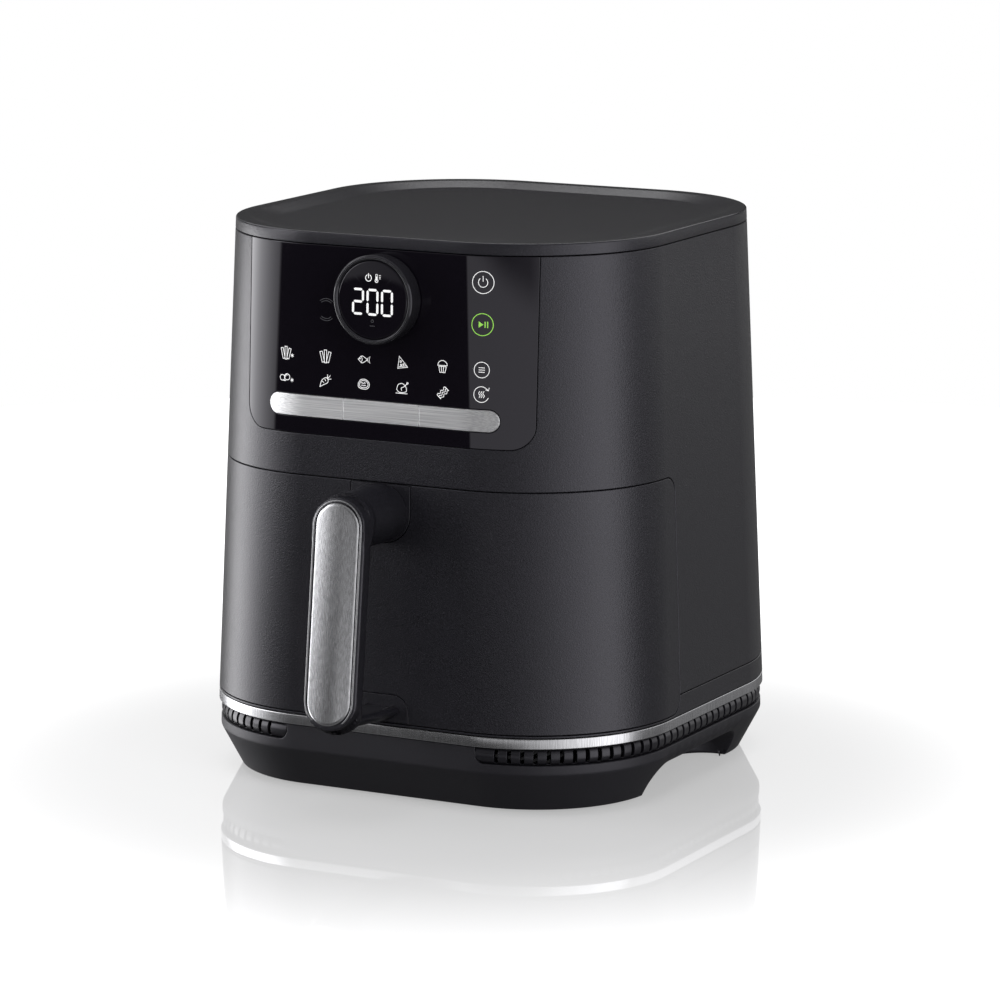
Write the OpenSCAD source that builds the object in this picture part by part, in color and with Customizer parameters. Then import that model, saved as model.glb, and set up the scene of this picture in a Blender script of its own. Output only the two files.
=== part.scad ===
// Air fryer with a pull-out drawer, a display dial and a key bar on a glossy panel.
// The drawer pulls out towards -Y, +X is to the right and +Z is up.

/* [Body] */
// Height of the body above the table
body_h = 316; // [305:1:330]
// Half of the body's width at the top rim
top_half_w = 129.1; // [126:0.1:134]
// Half of the body's depth at the top rim
top_half_d = 128.8; // [126:0.1:134]
// How far each side leans out from the top to the table
flare_w = 11.1; // [8:0.1:15]
// How far the front and the back lean out from the top to the table
flare_d = 9; // [7:0.1:12]
// Corner radius of the body in plan
corner_r = 83.9; // [78:0.1:90]
// Wall of the moulded housings
shell_t = 3; // [2.6:0.1:3.6]
// Gap at a parting line between two mouldings
seam = 0.3; // [0.2:0.05:0.5]

/* [Top cover] */
// Height of the band that shows above the parting line
cap_h = 6.7; // [5:0.1:9]
// Width of the flat rim round the tray
rim_w = 8; // [6:0.1:11]
// Width of the slope from the rim down to the tray
tray_run = 14; // [10:0.5:18]
// Depth of the tray below the rim
tray_depth = 2.6; // [2:0.1:3.2]
// Thickness of the tray's floor
tray_t = 2.4; // [2:0.1:2.6]
// Chamfer round the top rim
rim_edge = 0.8; // [0.4:0.1:1.2]
// Height of the lip that centres the cover in the housing
cover_lip_h = 5; // [4:0.1:5.2]

/* [Base] */
// Height of the base moulding, up to the metal band
base_h = 38.5; // [37:0.5:42]
// Height of the edge where the base starts to taper in
taper_z = 24; // [22:0.5:26]
// Angle of the tapered skirt from the vertical
taper_angle = 30; // [26:1:33]
// How far the base stands back from the body above
base_inset = 1.7; // [1:0.1:2.5]
// Gap between the skirt and the table
skirt_lift = 1.5; // [1:0.1:2.2]
// Height of the feet, up to the bottom plate
foot_h = 2.4; // [2.3:0.1:3.2]
// Radius of a rubber foot
foot_r = 9; // [7:0.5:11]
// Distance of the feet from the centre, along X and along Y
foot_at = 80; // [74:1:84]
// Thickness of the bottom plate
bottom_t = 2.5; // [2:0.1:3]
// Width of an air slot in the bottom plate
intake_slot = 3.4; // [3:0.1:3.8]

/* [Lifting recesses] */
// Length of the recess at each side of the base
recess_l = 110; // [100:1:118]
// Height of the recess
recess_h = 19.5; // [17:0.5:21]
// Distance of the recess's inner wall from the centre
recess_x = 100; // [97:1:104]
// Distance of the recess's middle in front of the centre
recess_shift = 5.5; // [2:0.5:8]
// Corner radius of the recess in plan
recess_plan_r = 22; // [18:1:26]
// Corner radius of the recess seen from the side
recess_side_r = 15; // [11:0.5:17]

/* [Air grilles] */
// Height of a grille strip
grille_h = 8.8; // [8:0.1:9.6]
// How far the strip bulges between its edges
grille_bulge = 1.8; // [1.2:0.1:2.4]
// Depth of the strip from its crest to its back
grille_t = 5; // [4:0.1:6]
// Distance of the strip's plain end from the middle of the front
grille_end = 60; // [58:0.5:66]
// Width of one slot
slot_w = 2.4; // [1.8:0.1:3]
// Height of one slot
slot_h = 7; // [6:0.1:7.4]
// Slots round each corner
corner_slots = 16; // [12:1:18]
// Slots along each side
side_slots = 13; // [9:2:15]

/* [Metal band] */
// Height of the metal band
band_h = 6.2; // [5:0.1:8]
// Thickness of the metal band
band_t = 2.2; // [1.8:0.1:2.4]

/* [Lower housing] */
// Height of the lower housing above the metal band, at the sides
lower_h = 11.6; // [11:0.1:15]
// Height of its lip under the drawer front
lower_lip_h = 1.8; // [1.4:0.1:2.4]
// Thickness of the deck that the cooking chamber stands on
deck_t = 3.6; // [3:0.1:4.2]

/* [Drawer front] */
// Height of the drawer front
drawer_h = 133.8; // [126:0.5:137]
// Distance of the drawer front's side edge in front of the centre
wrap_y = 38.3; // [32:0.5:46]
// Radius of the drawer front's corners at the sides
drawer_r = 9.5; // [7:0.5:11]

/* [Handle] */
// Width of the grip
grip_w = 32.6; // [28:0.2:36]
// Thickness of the grip
grip_t = 11; // [9:0.5:13]
// Distance of the grip's face from the drawer front, at the top
reach_top = 46.4; // [42:0.5:52]
// Distance of the grip's face from the drawer front, at the bottom
reach_bottom = 57.9; // [52:0.5:64]
// Gap from the drawer front's top edge down to the grip
grip_drop = 0.6; // [0.3:0.1:4]
// Gap from the drawer front's bottom edge up to the grip
grip_rise = 6.5; // [5:0.5:10]
// Width of the handle's two root pads
root_w = 37; // [34:0.2:40]
// Depth that the root pads are let into the drawer front
root_t = 2; // [1.5:0.1:2.2]
// Height of the upper root pad
root_top_h = 32.8; // [30:0.2:36]
// Height of the lower root pad
root_bottom_h = 15.6; // [14:0.2:18]
// Height of the lower arm at the root
arm_h = 9.6; // [8:0.2:12]
// Border of the grip round the metal inlay
inlay_border = 2.9; // [2.4:0.1:4]
// Thickness of the metal inlay
inlay_t = 1.2; // [0.8:0.1:1.6]

/* [Control panel] */
// Width of the glossy panel
panel_w = 180; // [176:0.5:190]
// Distance from the drawer front up to the panel
panel_rise = 23.5; // [20:0.5:27]
// Radius of the panel's lower corners
panel_r = 13; // [9:0.5:15]
// Thickness of the panel
panel_t = 2; // [1.6:0.1:2.2]
// Length of the metal key bar
bar_w = 143.6; // [136:0.2:150]
// Height of the key bar
bar_h = 12; // [10:0.2:14]
// Height of the bar's middle above the panel's lower edge
bar_rise = 15.5; // [13:0.5:20]
// Length of the fixed middle piece of the bar
bar_mid_w = 47.6; // [40:0.2:56]
// How far the bar stands proud of the panel
bar_proud = 0.6; // [0.4:0.1:0.9]
// How far a key of the bar can be pressed
key_travel = 0.8; // [0.5:0.1:1]
// Radius of the stem behind a key
key_stem_r = 2.5; // [2:0.1:3]
// Distance of a key's stem from the middle of the panel
key_stem_x = 40; // [36:0.5:42]
// Width of the control board
board_w = 116; // [110:1:120]
// Distance of the control board from the panel's upper and lower edge
board_margin = 5; // [4:0.5:6]

/* [Dial] */
// Radius of the dial's turning ring
dial_r = 24.5; // [23:0.1:25]
// Width of the ring
dial_ring_w = 2.8; // [2:0.1:3.6]
// How far the dial stands out of the panel
dial_reach = 11.5; // [9:0.5:14]
// Distance from the top cover's parting line to the dial's middle
dial_drop = 27; // [26.6:0.1:30]
// Running gap between the ring and the fixed core
dial_gap = 0.1; // [0.05:0.01:0.1]
// Thickness of the display's lens
lens_t = 1.5; // [1:0.1:2]

/* [Cooking chamber] */
// Half of the chamber's width outside
liner_half_w = 117; // [116:0.5:118]
// Distance of the chamber's front edge from the centre
liner_front = 98; // [97:0.5:99]
// Distance of the chamber's rear wall from the centre
liner_back = 114; // [110:0.5:116]
// Distance from the top of the body down to the chamber's roof
roof_drop = 56; // [55:0.5:60]
// Sheet thickness of the chamber
liner_t = 1; // [0.8:0.1:1.4]
// Corner radius of the chamber in plan
liner_r = 44; // [43:1:48]
// Radius of the opening for the fan's shaft
shaft_hole_r = 8; // [6:0.5:10]

/* [Pan] */
// Half of the pan's width at the rim
pan_half_w = 107; // [104:0.5:108]
// Half of the pan's depth at the rim
pan_half_d = 98; // [94:0.5:99]
// Height of the pan
pan_h = 118; // [110:1:120]
// Height of the pan's floor above the deck
pan_rise = 5.8; // [4:0.2:8]
// How far the pan's walls taper in from the rim to the floor
pan_draft = 5; // [2:0.5:8]
// Corner radius of the pan at the rim
pan_r = 40; // [30:1:46]
// Sheet thickness of the pan
pan_t = 1.5; // [1.2:0.1:2]
// Width of the pan's rim
pan_rim = 5.5; // [5:0.1:6]
// Height of the crisper plate above the pan's floor
plate_rise = 12; // [9:0.5:16]
// Thickness of the crisper plate
plate_t = 2; // [1.5:0.1:2.5]
// Gap between the crisper plate and the pan's wall
plate_gap = 2.5; // [2:0.1:3.5]

/* [Heater and fans] */
// Radius of the heating tube
heater_tube_r = 3.3; // [2.8:0.1:3.8]
// Radius of the innermost turn of the coil
heater_in = 52; // [48:1:56]
// Radius of the outermost turn of the coil
heater_out = 90; // [84:1:94]
// Number of turns
heater_turns = 2.5; // [1.5:1:3.5]
// Distance of the coil below the chamber's roof
heater_drop = 46; // [44:0.5:47]
// Distance of the guard below the chamber's roof
guard_drop = 54; // [52:0.5:56]
// Radius of the hot-air fan
hot_fan_r = 68; // [60:1:74]
// Height of the hot-air fan's blades
hot_fan_h = 18; // [14:1:22]
// Number of the hot-air fan's blades
hot_blades = 10; // [6:1:14]
// Radius of the cooling fan
cool_fan_r = 44; // [38:1:46]
// Number of the cooling fan's blades
cool_blades = 7; // [5:1:9]
// Radius of the motor's shaft
shaft_r = 3; // [2.5:0.1:4]
// Running gap round the shaft
shaft_gap = 0.05; // [0.02:0.01:0.08]
// Radius of the motor's can
motor_r = 34; // [30:1:38]
// Height of the motor's can
motor_h = 24; // [20:1:26]
// Distance from the chamber's roof up to the motor
motor_rise = 21; // [20:0.5:22]
// Width of the supply board
supply_w = 42; // [38:1:44]
// Length of the supply board
supply_l = 86; // [80:1:90]
// Distance from the chamber's roof up to the supply board
supply_rise = 8; // [6:0.5:10]

/* [Back] */
// Width of the air outlet
outlet_w = 90; // [80:1:92]
// Height of the air outlet
outlet_h = 50; // [44:1:54]
// Distance from the chamber's roof down to the outlet's middle
outlet_drop = 44; // [38:1:50]
// Radius of the hole for the mains lead
lead_r = 3.6; // [3:0.1:4.2]
// Distance of the lead's gland from the middle of the back
gland_x = 38; // [30:1:40]
// Height of the lead's gland above the table
gland_z = 76; // [70:1:90]

/* [Hidden] */

corner_steps = 12;
far = 400;
cut = 1;

// Levels from the table up
cap_z = body_h - cap_h;
tray_z = body_h - tray_depth;
band_z = base_h + band_h;
lower_z = band_z + lower_h;
drawer_z0 = band_z + lower_lip_h;
drawer_z1 = drawer_z0 + drawer_h;
deck_z = drawer_z0 - seam;
panel_z0 = drawer_z1 + panel_rise;
bar_z = panel_z0 + bar_rise;
dial_z = cap_z - dial_drop;
grille_z = base_h - seam - grille_h / 2;
bottom_z = foot_h + bottom_t;
roof_z = body_h - roof_drop;
outlet_z = roof_z - outlet_drop;
pan_z0 = deck_z + pan_rise;
pan_z1 = pan_z0 + pan_h;
plate_z = pan_z0 + plate_rise;
heater_z = roof_z - heater_drop;
guard_z = roof_z - guard_drop;
motor_z = roof_z + motor_rise;

// Half width, half depth and lean of the outer skin
function half_w(z) = top_half_w + flare_w * (body_h - z) / body_h;
function half_d(z) = top_half_d + flare_d * (body_h - z) / body_h;
face_tilt = atan(flare_d / body_h);

// Handle: a grip between two levels, leaning out towards the bottom
grip_z0 = drawer_z0 + grip_rise;
grip_z1 = drawer_z1 - grip_drop;
grip_y0 = -half_d(grip_z0) - reach_bottom;
grip_y1 = -half_d(grip_z1) - reach_top;
grip_tilt = atan((grip_y1 - grip_y0) / (grip_z1 - grip_z0));
grip_len = norm([grip_y1 - grip_y0, grip_z1 - grip_z0]);
grip_r = grip_w / 2;
inlay_r = grip_r - inlay_border;

// The object is centred between its grip and the back of the metal band
body_y = (-grip_y0 - half_d(base_h)) / 2;

// Fan axis, pan and board places
pan_y = pan_half_d + pan_rim + seam - liner_front;
fan_y = pan_y;
board_y = -(liner_front + 14);
board_t = 1.6;
inner_front = -(liner_front + seam + 0.5);
dial_core_r = dial_r - dial_ring_w - dial_gap;
dial_back = half_d(dial_z) + board_y - board_t - dial_core_r * tan(face_tilt) - 0.1;
shroud_r = liner_half_w - liner_t - 10;
rail_h = 6;
stem_clear = 0.3;
key_skin = 0.5;
switch_t = 3.5;
rest_gap = 0.1;
side_margin = 6.7;
gland_r = lead_r + 3.4;
boss_r = 5;
screw_r = 1.75;
post_r = 3;
post_at = (cool_fan_r + post_r + 4) / sqrt(2);
terminal_clear = 0.4;

// Screws under the base, their heads and their places
base_screw_y = foot_at - 28;
screw_head_r = 3.4;

// Plate's slots: columns and rows, each slot's width and length
plate_pitch_x = 20;
plate_pitch_y = 52;
plate_slot_w = 4;
plate_slot_l = 36;
plate_grip = [28, 18];
bumper_in = 22;
bumper_r = 5;

// Air intake in the bottom plate, under the cooling air's path
intake_l = 60;
intake_bars = 6;

// Hood over the hot-air fan, and the levels of both fans
hood_depth = heater_drop - 36;
hot_fan_z = roof_z - liner_t - hood_depth - 4 - hot_fan_h;
cool_fan_z = roof_z + 6;

// Where the heating tube's two tails go up through the roof, outside the hot-air fan
coil_steps = 26;
tail_x = hot_fan_r + 12;
tail_rise = 2 * heater_tube_r + 1;
heater_ends = [
    [tail_x, 0],
    [heater_out * cos(360 * heater_turns), heater_out * sin(360 * heater_turns)]
];

// Air outlet and door switch
outlet_face_y = half_d(outlet_z + outlet_h / 2) - shell_t;
outlet_bars = 11;
outlet_bar_gap = 3.8;
outlet_border = 4;
switch_x = 70;
switch_l = 20;
plunger_r = 1.8;

// One closed ring of the rounded plan at height z
function plan(w, d, r, z, n = corner_steps) = [
    for (q = [0:3]) for (i = [0:n])
        let (a = 90 * (q + i / n), sx = (q == 0 || q == 3) ? 1 : -1, sy = q < 2 ? 1 : -1)
        [sx * (w - r) + r * cos(a), sy * (d - r) + r * sin(a), z]
];

// The body's own outline at height z, moved in by t
function outline(z, t) = plan(half_w(z) - t, half_d(z) - t, max(corner_r - t, 5), z);

// A solid through rings that all have as many points, lowest ring first
module skin(rings) {
    n = len(rings[0]);
    top = len(rings) - 1;
    sides = [
        for (k = [0:top - 1]) for (i = [0:n - 1])
            let (j = (i + 1) % n)
            [k * n + i, (k + 1) * n + i, (k + 1) * n + j, k * n + j]
    ];
    floor_face = [for (i = [0:n - 1]) i];
    roof_face = [for (i = [n - 1:-1:0]) top * n + i];
    polyhedron([for (ring = rings) each ring], concat([floor_face], sides, [roof_face]));
}

// The body's shape between levels, each given as [height, inset]
module body(levels) skin([for (l = levels) outline(l[0], l[1])]);

// How far the base moulding stands back at height z
function skirt_inset(z) = base_inset + max(0, taper_z - z) * tan(taper_angle);

// Puts a piece built round the body's axis into the shared frame
module at_body() translate([0, body_y, 0]) children();

// A Y-Z outline drawn through the whole width
module across(w) rotate([90, 0, 90]) linear_extrude(w, center = true) children();

// An X-Z outline drawn from the middle out through the front
module to_front(l = far) rotate([90, 0, 0]) linear_extrude(l) children();

// Local frames on the leaning front and back, with +Z outwards and +Y up
module on_front(z) translate([0, -half_d(z), z]) rotate([90 - face_tilt, 0, 0]) children();
module on_back(z) translate([0, half_d(z), z]) rotate([0, 0, 180]) rotate([90 - face_tilt, 0, 0])
    children();

module both_sides() {
    children();
    mirror([1, 0, 0]) children();
}

// ---------------------------------------------------------------- housings

module tray_hollow() {
    slope = tray_run / tray_depth;
    body([[tray_z, rim_w + tray_run], [body_h + cut, rim_w - slope * cut]]);
}

module top_cover() {
    lip = shell_t + seam;
    under = tray_z - tray_t;
    color("#3d3e42") at_body() difference() {
        union() {
            difference() {
                body([[cap_z + seam / 2, 0], [body_h - rim_edge, 0], [body_h, rim_edge]]);
                body([[cap_z - cut, shell_t], [under, shell_t]]);
            }
            difference() {
                body([[cap_z - cover_lip_h, lip], [under + cut / 2, lip]]);
                body([[cap_z - cover_lip_h - cut, lip + 2], [under + cut, lip + 2]]);
            }
        }
        tray_hollow();
    }
}

// Side view of the drawer front, grown for the opening it closes
module drawer_outline(grow) {
    offset(r = drawer_r + grow) offset(delta = -drawer_r)
        translate([-far, drawer_z0]) square([far - wrap_y, drawer_h]);
}

// Front view of the panel; its top runs out past the cover's parting line
module panel_outline(grow) {
    offset(r = panel_r + grow) offset(delta = -panel_r)
        translate([-panel_w / 2, panel_z0]) square([panel_w, far]);
}

module panel_place(grow) {
    intersection() {
        to_front() panel_outline(grow);
        translate([-far / 2, -far, 0]) cube([far, far, cap_z - seam / 2 + (grow > 0 ? far : 0)]);
    }
}

module key_stem(r, y_in) {
    translate([key_stem_x, y_in, bar_z]) rotate([90, 0, 0])
        cylinder(h = half_d(bar_z) - key_skin + y_in, r = r, $fn = 40);
}

module board_posts() {
    for (x = [-45, 45], z = [panel_z0 + 30, cap_z - 22])
        translate([x, board_y - board_t, z]) rotate([90, 0, 0])
            cylinder(h = half_d(z) - shell_t + cut / 2 + board_y - board_t, r = post_r, $fn = 32);
}

module outlet_opening(grow) {
    on_back(outlet_z) translate([-outlet_w / 2 - grow, -outlet_h / 2 - grow, -shell_t - 6])
        cube([outlet_w + 2 * grow, outlet_h + 2 * grow, shell_t + 12]);
}

module upper_housing() {
    color("#3d3e42") at_body() difference() {
        union() {
            difference() {
                body([[lower_z + seam / 2, 0], [cap_z - seam / 2, 0]]);
                body([[lower_z - cut, shell_t], [cap_z + cut, shell_t]]);
            }
            board_posts();
        }
        across(far) drawer_outline(seam);
        intersection() {
            difference() {
                body([[panel_z0 - 5, -cut], [cap_z + cut, -cut]]);
                body([[panel_z0 - 6, panel_t], [cap_z + 2 * cut, panel_t]]);
            }
            panel_place(seam);
        }
        on_front(dial_z) translate([0, 0, -far / 10])
            cylinder(h = far / 8, r = dial_core_r + seam, $fn = 72);
        both_sides() key_stem(key_stem_r + stem_clear, board_y - board_t);
        outlet_opening(seam);
        on_back(gland_z) translate([gland_x, 0, -2 * shell_t])
            cylinder(h = 4 * shell_t, r = gland_r + seam / 2, $fn = 48);
    }
}

// Columns under the deck that the bottom plate is screwed to
module deck_bosses(r) {
    for (x = [-1, 1], y = [-1, 1])
        translate([x * foot_at, y * base_screw_y, bottom_z + seam / 3])
            cylinder(h = band_z - bottom_z - seam, r = r, $fn = 40);
}

module lower_housing() {
    under = deck_z - deck_t;
    color("#37383c") at_body() difference() {
        union() {
            difference() {
                body([[band_z + seam / 2, 0], [lower_z - seam / 2, 0]]);
                body([[deck_z, shell_t], [lower_z + cut, shell_t]]);
                difference() {
                    across(far) drawer_outline(seam);
                    translate([-far, -far, deck_z - far]) cube([2 * far, 2 * far, far]);
                }
            }
            body([[under, band_t + seam], [band_z + cut / 2, band_t + seam]]);
            deck_bosses(boss_r);
        }
        translate([0, 0, -cut]) deck_bosses(screw_r);
    }
}

module metal_band() {
    color("#c9cacc") at_body() difference() {
        body([[base_h + seam / 2, 0.5], [base_h + 1, 0], [band_z - 0.6, 0],
            [band_z - seam / 2, 0.4]]);
        body([[base_h - cut, band_t], [band_z + cut, band_t]]);
    }
}

// ---------------------------------------------------------------- base

// The hand recess at the right side: a rounded plan met with a rounded side view
module hand_recess(grow) {
    intersection() {
        linear_extrude(far / 4, center = true)
            offset(r = recess_plan_r + grow) offset(delta = -recess_plan_r)
                translate([recess_x, -recess_l / 2 - recess_shift]) square([far / 2, recess_l]);
        across(far) offset(r = recess_side_r + grow) offset(delta = -recess_side_r)
            translate([-recess_l / 2 - recess_shift, recess_h - far / 4])
                square([recess_l, far / 4]);
    }
}

// Outline of one grille, run straight through front, side and back
module grille_window(grow) {
    r = 5;
    rotate([90, 0, 0]) linear_extrude(far, center = true)
        offset(r = r + grow) offset(delta = -r)
            translate([grille_end, grille_z - grille_h / 2]) square([far / 2, far / 10]);
}

module base_skirt() {
    levels = [
        [skirt_lift, skirt_inset(skirt_lift)], [taper_z - 1.5, skirt_inset(taper_z - 1.5)],
        [taper_z - 0.3, base_inset + 0.3], [taper_z + 1, base_inset],
        [base_h - seam / 2, base_inset]
    ];
    wall = [[0, skirt_inset(0) + shell_t], [taper_z, base_inset + shell_t],
        [base_h + cut, base_inset + shell_t]];
    color("#2b2b2e") at_body() difference() {
        union() {
            difference() {
                body(levels);
                body(wall);
            }
            intersection() {
                body(levels);
                both_sides() hand_recess(shell_t - 0.5);
            }
        }
        both_sides() hand_recess(0);
        both_sides() grille_window(seam);
    }
}

module bottom_plate() {
    color("#242427") at_body() difference() {
        body([[foot_h, skirt_inset(foot_h) + shell_t + seam],
            [bottom_z, skirt_inset(bottom_z) + shell_t + seam]]);
        both_sides() hand_recess(shell_t - 0.5 + seam);
        for (i = [-intake_bars:intake_bars])
            translate([i * 2.4 * intake_slot - intake_slot / 2, -intake_l / 2, 0])
                cube([intake_slot, intake_l, far / 10]);
        translate([0, 0, -cut]) for (x = [-1, 1], y = [-1, 1])
            translate([x * foot_at, y * base_screw_y, 0]) {
                cylinder(h = far / 10, r = screw_r + 0.1, $fn = 40);
                cylinder(h = foot_h + cut + bottom_t / 2, r = screw_head_r + 0.2, $fn = 40);
            }
    }
}

module base_screws() {
    color("#8d8f92") at_body() for (x = [-1, 1], y = [-1, 1])
        translate([x * foot_at, y * base_screw_y, foot_h + 0.2]) {
            cylinder(h = bottom_t / 2 - 0.2, r = screw_head_r, $fn = 40);
            cylinder(h = 14, r = screw_r, $fn = 40);
        }
}

module rubber_feet() {
    color("#1c1c1d") at_body() for (x = [-1, 1], y = [-1, 1])
        translate([x * foot_at, y * foot_at, 0]) rotate_extrude($fn = 48)
            polygon([[0, 0], [foot_r - 1, 0], [foot_r, 1], [foot_r, foot_h], [0, foot_h]]);
}

// Inset of the bulged strip at a height above or below its middle
function bulge_inset(h) = let (r = (pow(grille_h / 2, 2) + pow(grille_bulge, 2)) / (2 * grille_bulge))
    base_inset + r - sqrt(r * r - h * h);

// One ribbed strip for the right side, from the front round both corners to the back
module grille() {
    r = corner_r - base_inset;
    cx = half_w(grille_z) - corner_r;
    cy = half_d(grille_z) - corner_r;
    end = asin((grille_end - cx) / r);
    first = end + 8.4;
    step = (90 - 1.2 - first) / (corner_slots - 1);
    side_step = 2 * (cy - side_margin) / (side_slots - 1);
    slot = [3 * grille_t, slot_w, slot_h];
    back = base_inset + grille_t;
    difference() {
        intersection() {
            body([for (i = [-3:3]) let (h = i * grille_h / 6) [grille_z + h, bulge_inset(h)]]);
            grille_window(0);
        }
        body([[grille_z - grille_h, back], [grille_z + grille_h, back]]);
        for (s = [-1, 1]) mirror([0, s > 0 ? 1 : 0, 0]) translate([cx, -cy, grille_z])
            for (i = [0:corner_slots - 1]) rotate([0, 0, first - 90 + i * step])
                translate([r, 0, 0]) cube(slot, center = true);
        for (i = [0:side_slots - 1])
            translate([cx + r, side_margin - cy + i * side_step, grille_z])
                cube(slot, center = true);
    }
}

module grille_right() {
    color("#2f2f33") at_body() grille();
}

module grille_left() {
    color("#2f2f33") at_body() mirror([1, 0, 0]) grille();
}

// ---------------------------------------------------------------- panel, bar and dial

// Front view of the key bar between two distances from the middle
module bar_outline(x0, x1, grow) {
    r = bar_h / 2 + grow;
    intersection() {
        union() {
            square([bar_w - bar_h, 2 * r], center = true);
            for (x = [-1, 1]) translate([x * (bar_w - bar_h) / 2, 0]) circle(r = r, $fn = 48);
        }
        translate([x0, -bar_h]) square([x1 - x0, 2 * bar_h]);
    }
}

// A slice of the bar that follows the body, from proud of the panel to a depth below it
module bar_piece(x0, x1, depth) {
    intersection() {
        difference() {
            body([[bar_z - bar_h, -bar_proud], [bar_z + bar_h, -bar_proud]]);
            body([[bar_z - bar_h - cut, depth], [bar_z + bar_h + cut, depth]]);
        }
        translate([0, 0, bar_z]) to_front() bar_outline(x0, x1, 0);
    }
}

module control_panel() {
    color("#0c0c0e") at_body() difference() {
        intersection() {
            difference() {
                body([[panel_z0 - cut, 0], [cap_z + cut, 0]]);
                body([[panel_z0 - 2 * cut, panel_t - 0.1], [cap_z + 2 * cut, panel_t - 0.1]]);
            }
            panel_place(0);
        }
        translate([0, 0, bar_z]) to_front() bar_outline(-far, far, seam);
        on_front(dial_z) translate([0, 0, -far / 10])
            cylinder(h = far / 5, r = dial_core_r + seam, $fn = 72);
    }
}

module bar_centre() {
    half = bar_mid_w / 2 - seam / 2;
    color("#b9babd") at_body() bar_piece(-half, half, panel_t - 0.05);
}

module key() {
    depth = panel_t - key_travel - rest_gap;
    back = board_y - board_t - switch_t - key_travel - rest_gap;
    bar_piece(bar_mid_w / 2 + seam / 2, far, depth);
    key_stem(key_stem_r, back);
}

module key_right() {
    color("#b9babd") at_body() key();
}

module key_left() {
    color("#b9babd") at_body() mirror([1, 0, 0]) key();
}

module dial_ring() {
    color("#26262a") at_body() on_front(dial_z) rotate_extrude($fn = 96)
        polygon([
            [dial_core_r + dial_gap, 0.5], [dial_r, 0.5], [dial_r, dial_reach - 0.8],
            [dial_r - 0.8, dial_reach], [dial_core_r + dial_gap + 0.6, dial_reach],
            [dial_core_r + dial_gap, dial_reach - 0.6]
        ]);
}

module dial_core() {
    wall = 2;
    color("#17171a") at_body() on_front(dial_z) difference() {
        translate([0, 0, -dial_back]) cylinder(h = dial_back + dial_reach - lens_t - 0.1,
            r = dial_core_r, $fn = 96);
        translate([0, 0, wall - dial_back]) cylinder(h = dial_back + dial_reach,
            r = dial_core_r - wall, $fn = 72);
    }
}

module dial_lens() {
    color("#050506") at_body() on_front(dial_z) translate([0, 0, dial_reach - lens_t])
        cylinder(h = lens_t, r = dial_core_r, $fn = 96);
}

module key_switches() {
    color("#1a1a1c") at_body() both_sides()
        translate([key_stem_x - switch_t, board_y - board_t - switch_t, bar_z - switch_t])
            cube([2 * switch_t, switch_t, 2 * switch_t]);
}

module control_board() {
    color("#2d6b45") at_body()
        translate([-board_w / 2, board_y - board_t, panel_z0 + board_margin])
            cube([board_w, board_t, cap_z - panel_z0 - 2 * board_margin - cover_lip_h]);
}

// ---------------------------------------------------------------- cooking chamber

module terminal_holes() {
    for (p = heater_ends) translate([p[0], fan_y + p[1], heater_z])
        cylinder(h = far, r = heater_tube_r + terminal_clear, $fn = 40);
}

// Rounded plan of the chamber, t inside its outer face, between two heights
module chamber_block(t, z0, z1) {
    translate([0, 0, z0]) linear_extrude(z1 - z0)
        offset(r = liner_r - t) offset(delta = -liner_r)
            translate([-liner_half_w, -liner_front])
                square([2 * liner_half_w, liner_front + liner_back]);
}

// Sheet-metal chamber, open at the front, that the pan slides into
module cooking_chamber() {
    color("#8f9194") at_body() difference() {
        chamber_block(0, deck_z, roof_z);
        chamber_block(liner_t, deck_z + liner_t, roof_z - liner_t);
        translate([liner_t - liner_half_w, -liner_front - cut, deck_z + liner_t])
            cube([2 * (liner_half_w - liner_t), liner_front + cut,
                drawer_z1 - deck_z - liner_t - 4]);
        translate([0, fan_y, roof_z - 2 * liner_t])
            cylinder(h = far / 10, r = shaft_hole_r, $fn = 48);
        terminal_holes();
        translate([-outlet_w / 2 + 6, liner_back - 2 * liner_t, outlet_z - outlet_h / 2 + 6])
            cube([outlet_w - 12, 4 * liner_t, outlet_h - 12]);
        translate([switch_x, liner_back - 2 * liner_t, pan_z1 - pan_t / 2]) rotate([-90, 0, 0])
            cylinder(h = 4 * liner_t, r = plunger_r + stem_clear, $fn = 32);
    }
}

// Rails under the pan's rim, fixed to the chamber's side walls
module runner() {
    top = pan_z1 - pan_t - seam;
    x0 = pan_half_w + 1.5;
    y0 = liner_r - liner_front - 4;
    l = liner_front + liner_back - 2 * liner_r + 3;
    translate([x0, y0, top - 1.5]) cube([liner_half_w - liner_t - x0, l, 1.5]);
    translate([liner_half_w - liner_t - 1.5, y0, top - rail_h]) cube([1.5, l, rail_h]);
}

module runner_right() {
    color("#a7a9ac") at_body() runner();
}

module runner_left() {
    color("#a7a9ac") at_body() mirror([1, 0, 0]) runner();
}

// Points along the coil: a flat spiral from its inner to its outer turn
function coil_r(t) = heater_in + (heater_out - heater_in) * t;
function coil_point(t) = let (a = 360 * heater_turns * t)
    [coil_r(t) * cos(a), coil_r(t) * sin(a)];

// A tube of eight sides swept along the spiral
module coil_tube() {
    n = 8;
    steps = ceil(coil_steps * heater_turns);
    rings = [
        for (k = [0:steps])
            let (t = k / steps, p = coil_point(t), a = 360 * heater_turns * t)
            [for (i = [0:n - 1])
                let (b = 360 * i / n, out = heater_tube_r * cos(b))
                [p[0] + out * cos(a), p[1] + out * sin(a), heater_tube_r * sin(b)]]
    ];
    sides = [
        for (k = [0:steps - 1]) for (i = [0:n - 1])
            let (j = (i + 1) % n)
            [k * n + i, k * n + j, (k + 1) * n + j, (k + 1) * n + i]
    ];
    first_cap = [for (i = [n - 1:-1:0]) i];
    last_cap = [for (i = [0:n - 1]) steps * n + i];
    polyhedron([for (ring = rings) each ring], concat([first_cap], sides, [last_cap]),
        convexity = 10);
}

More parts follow.
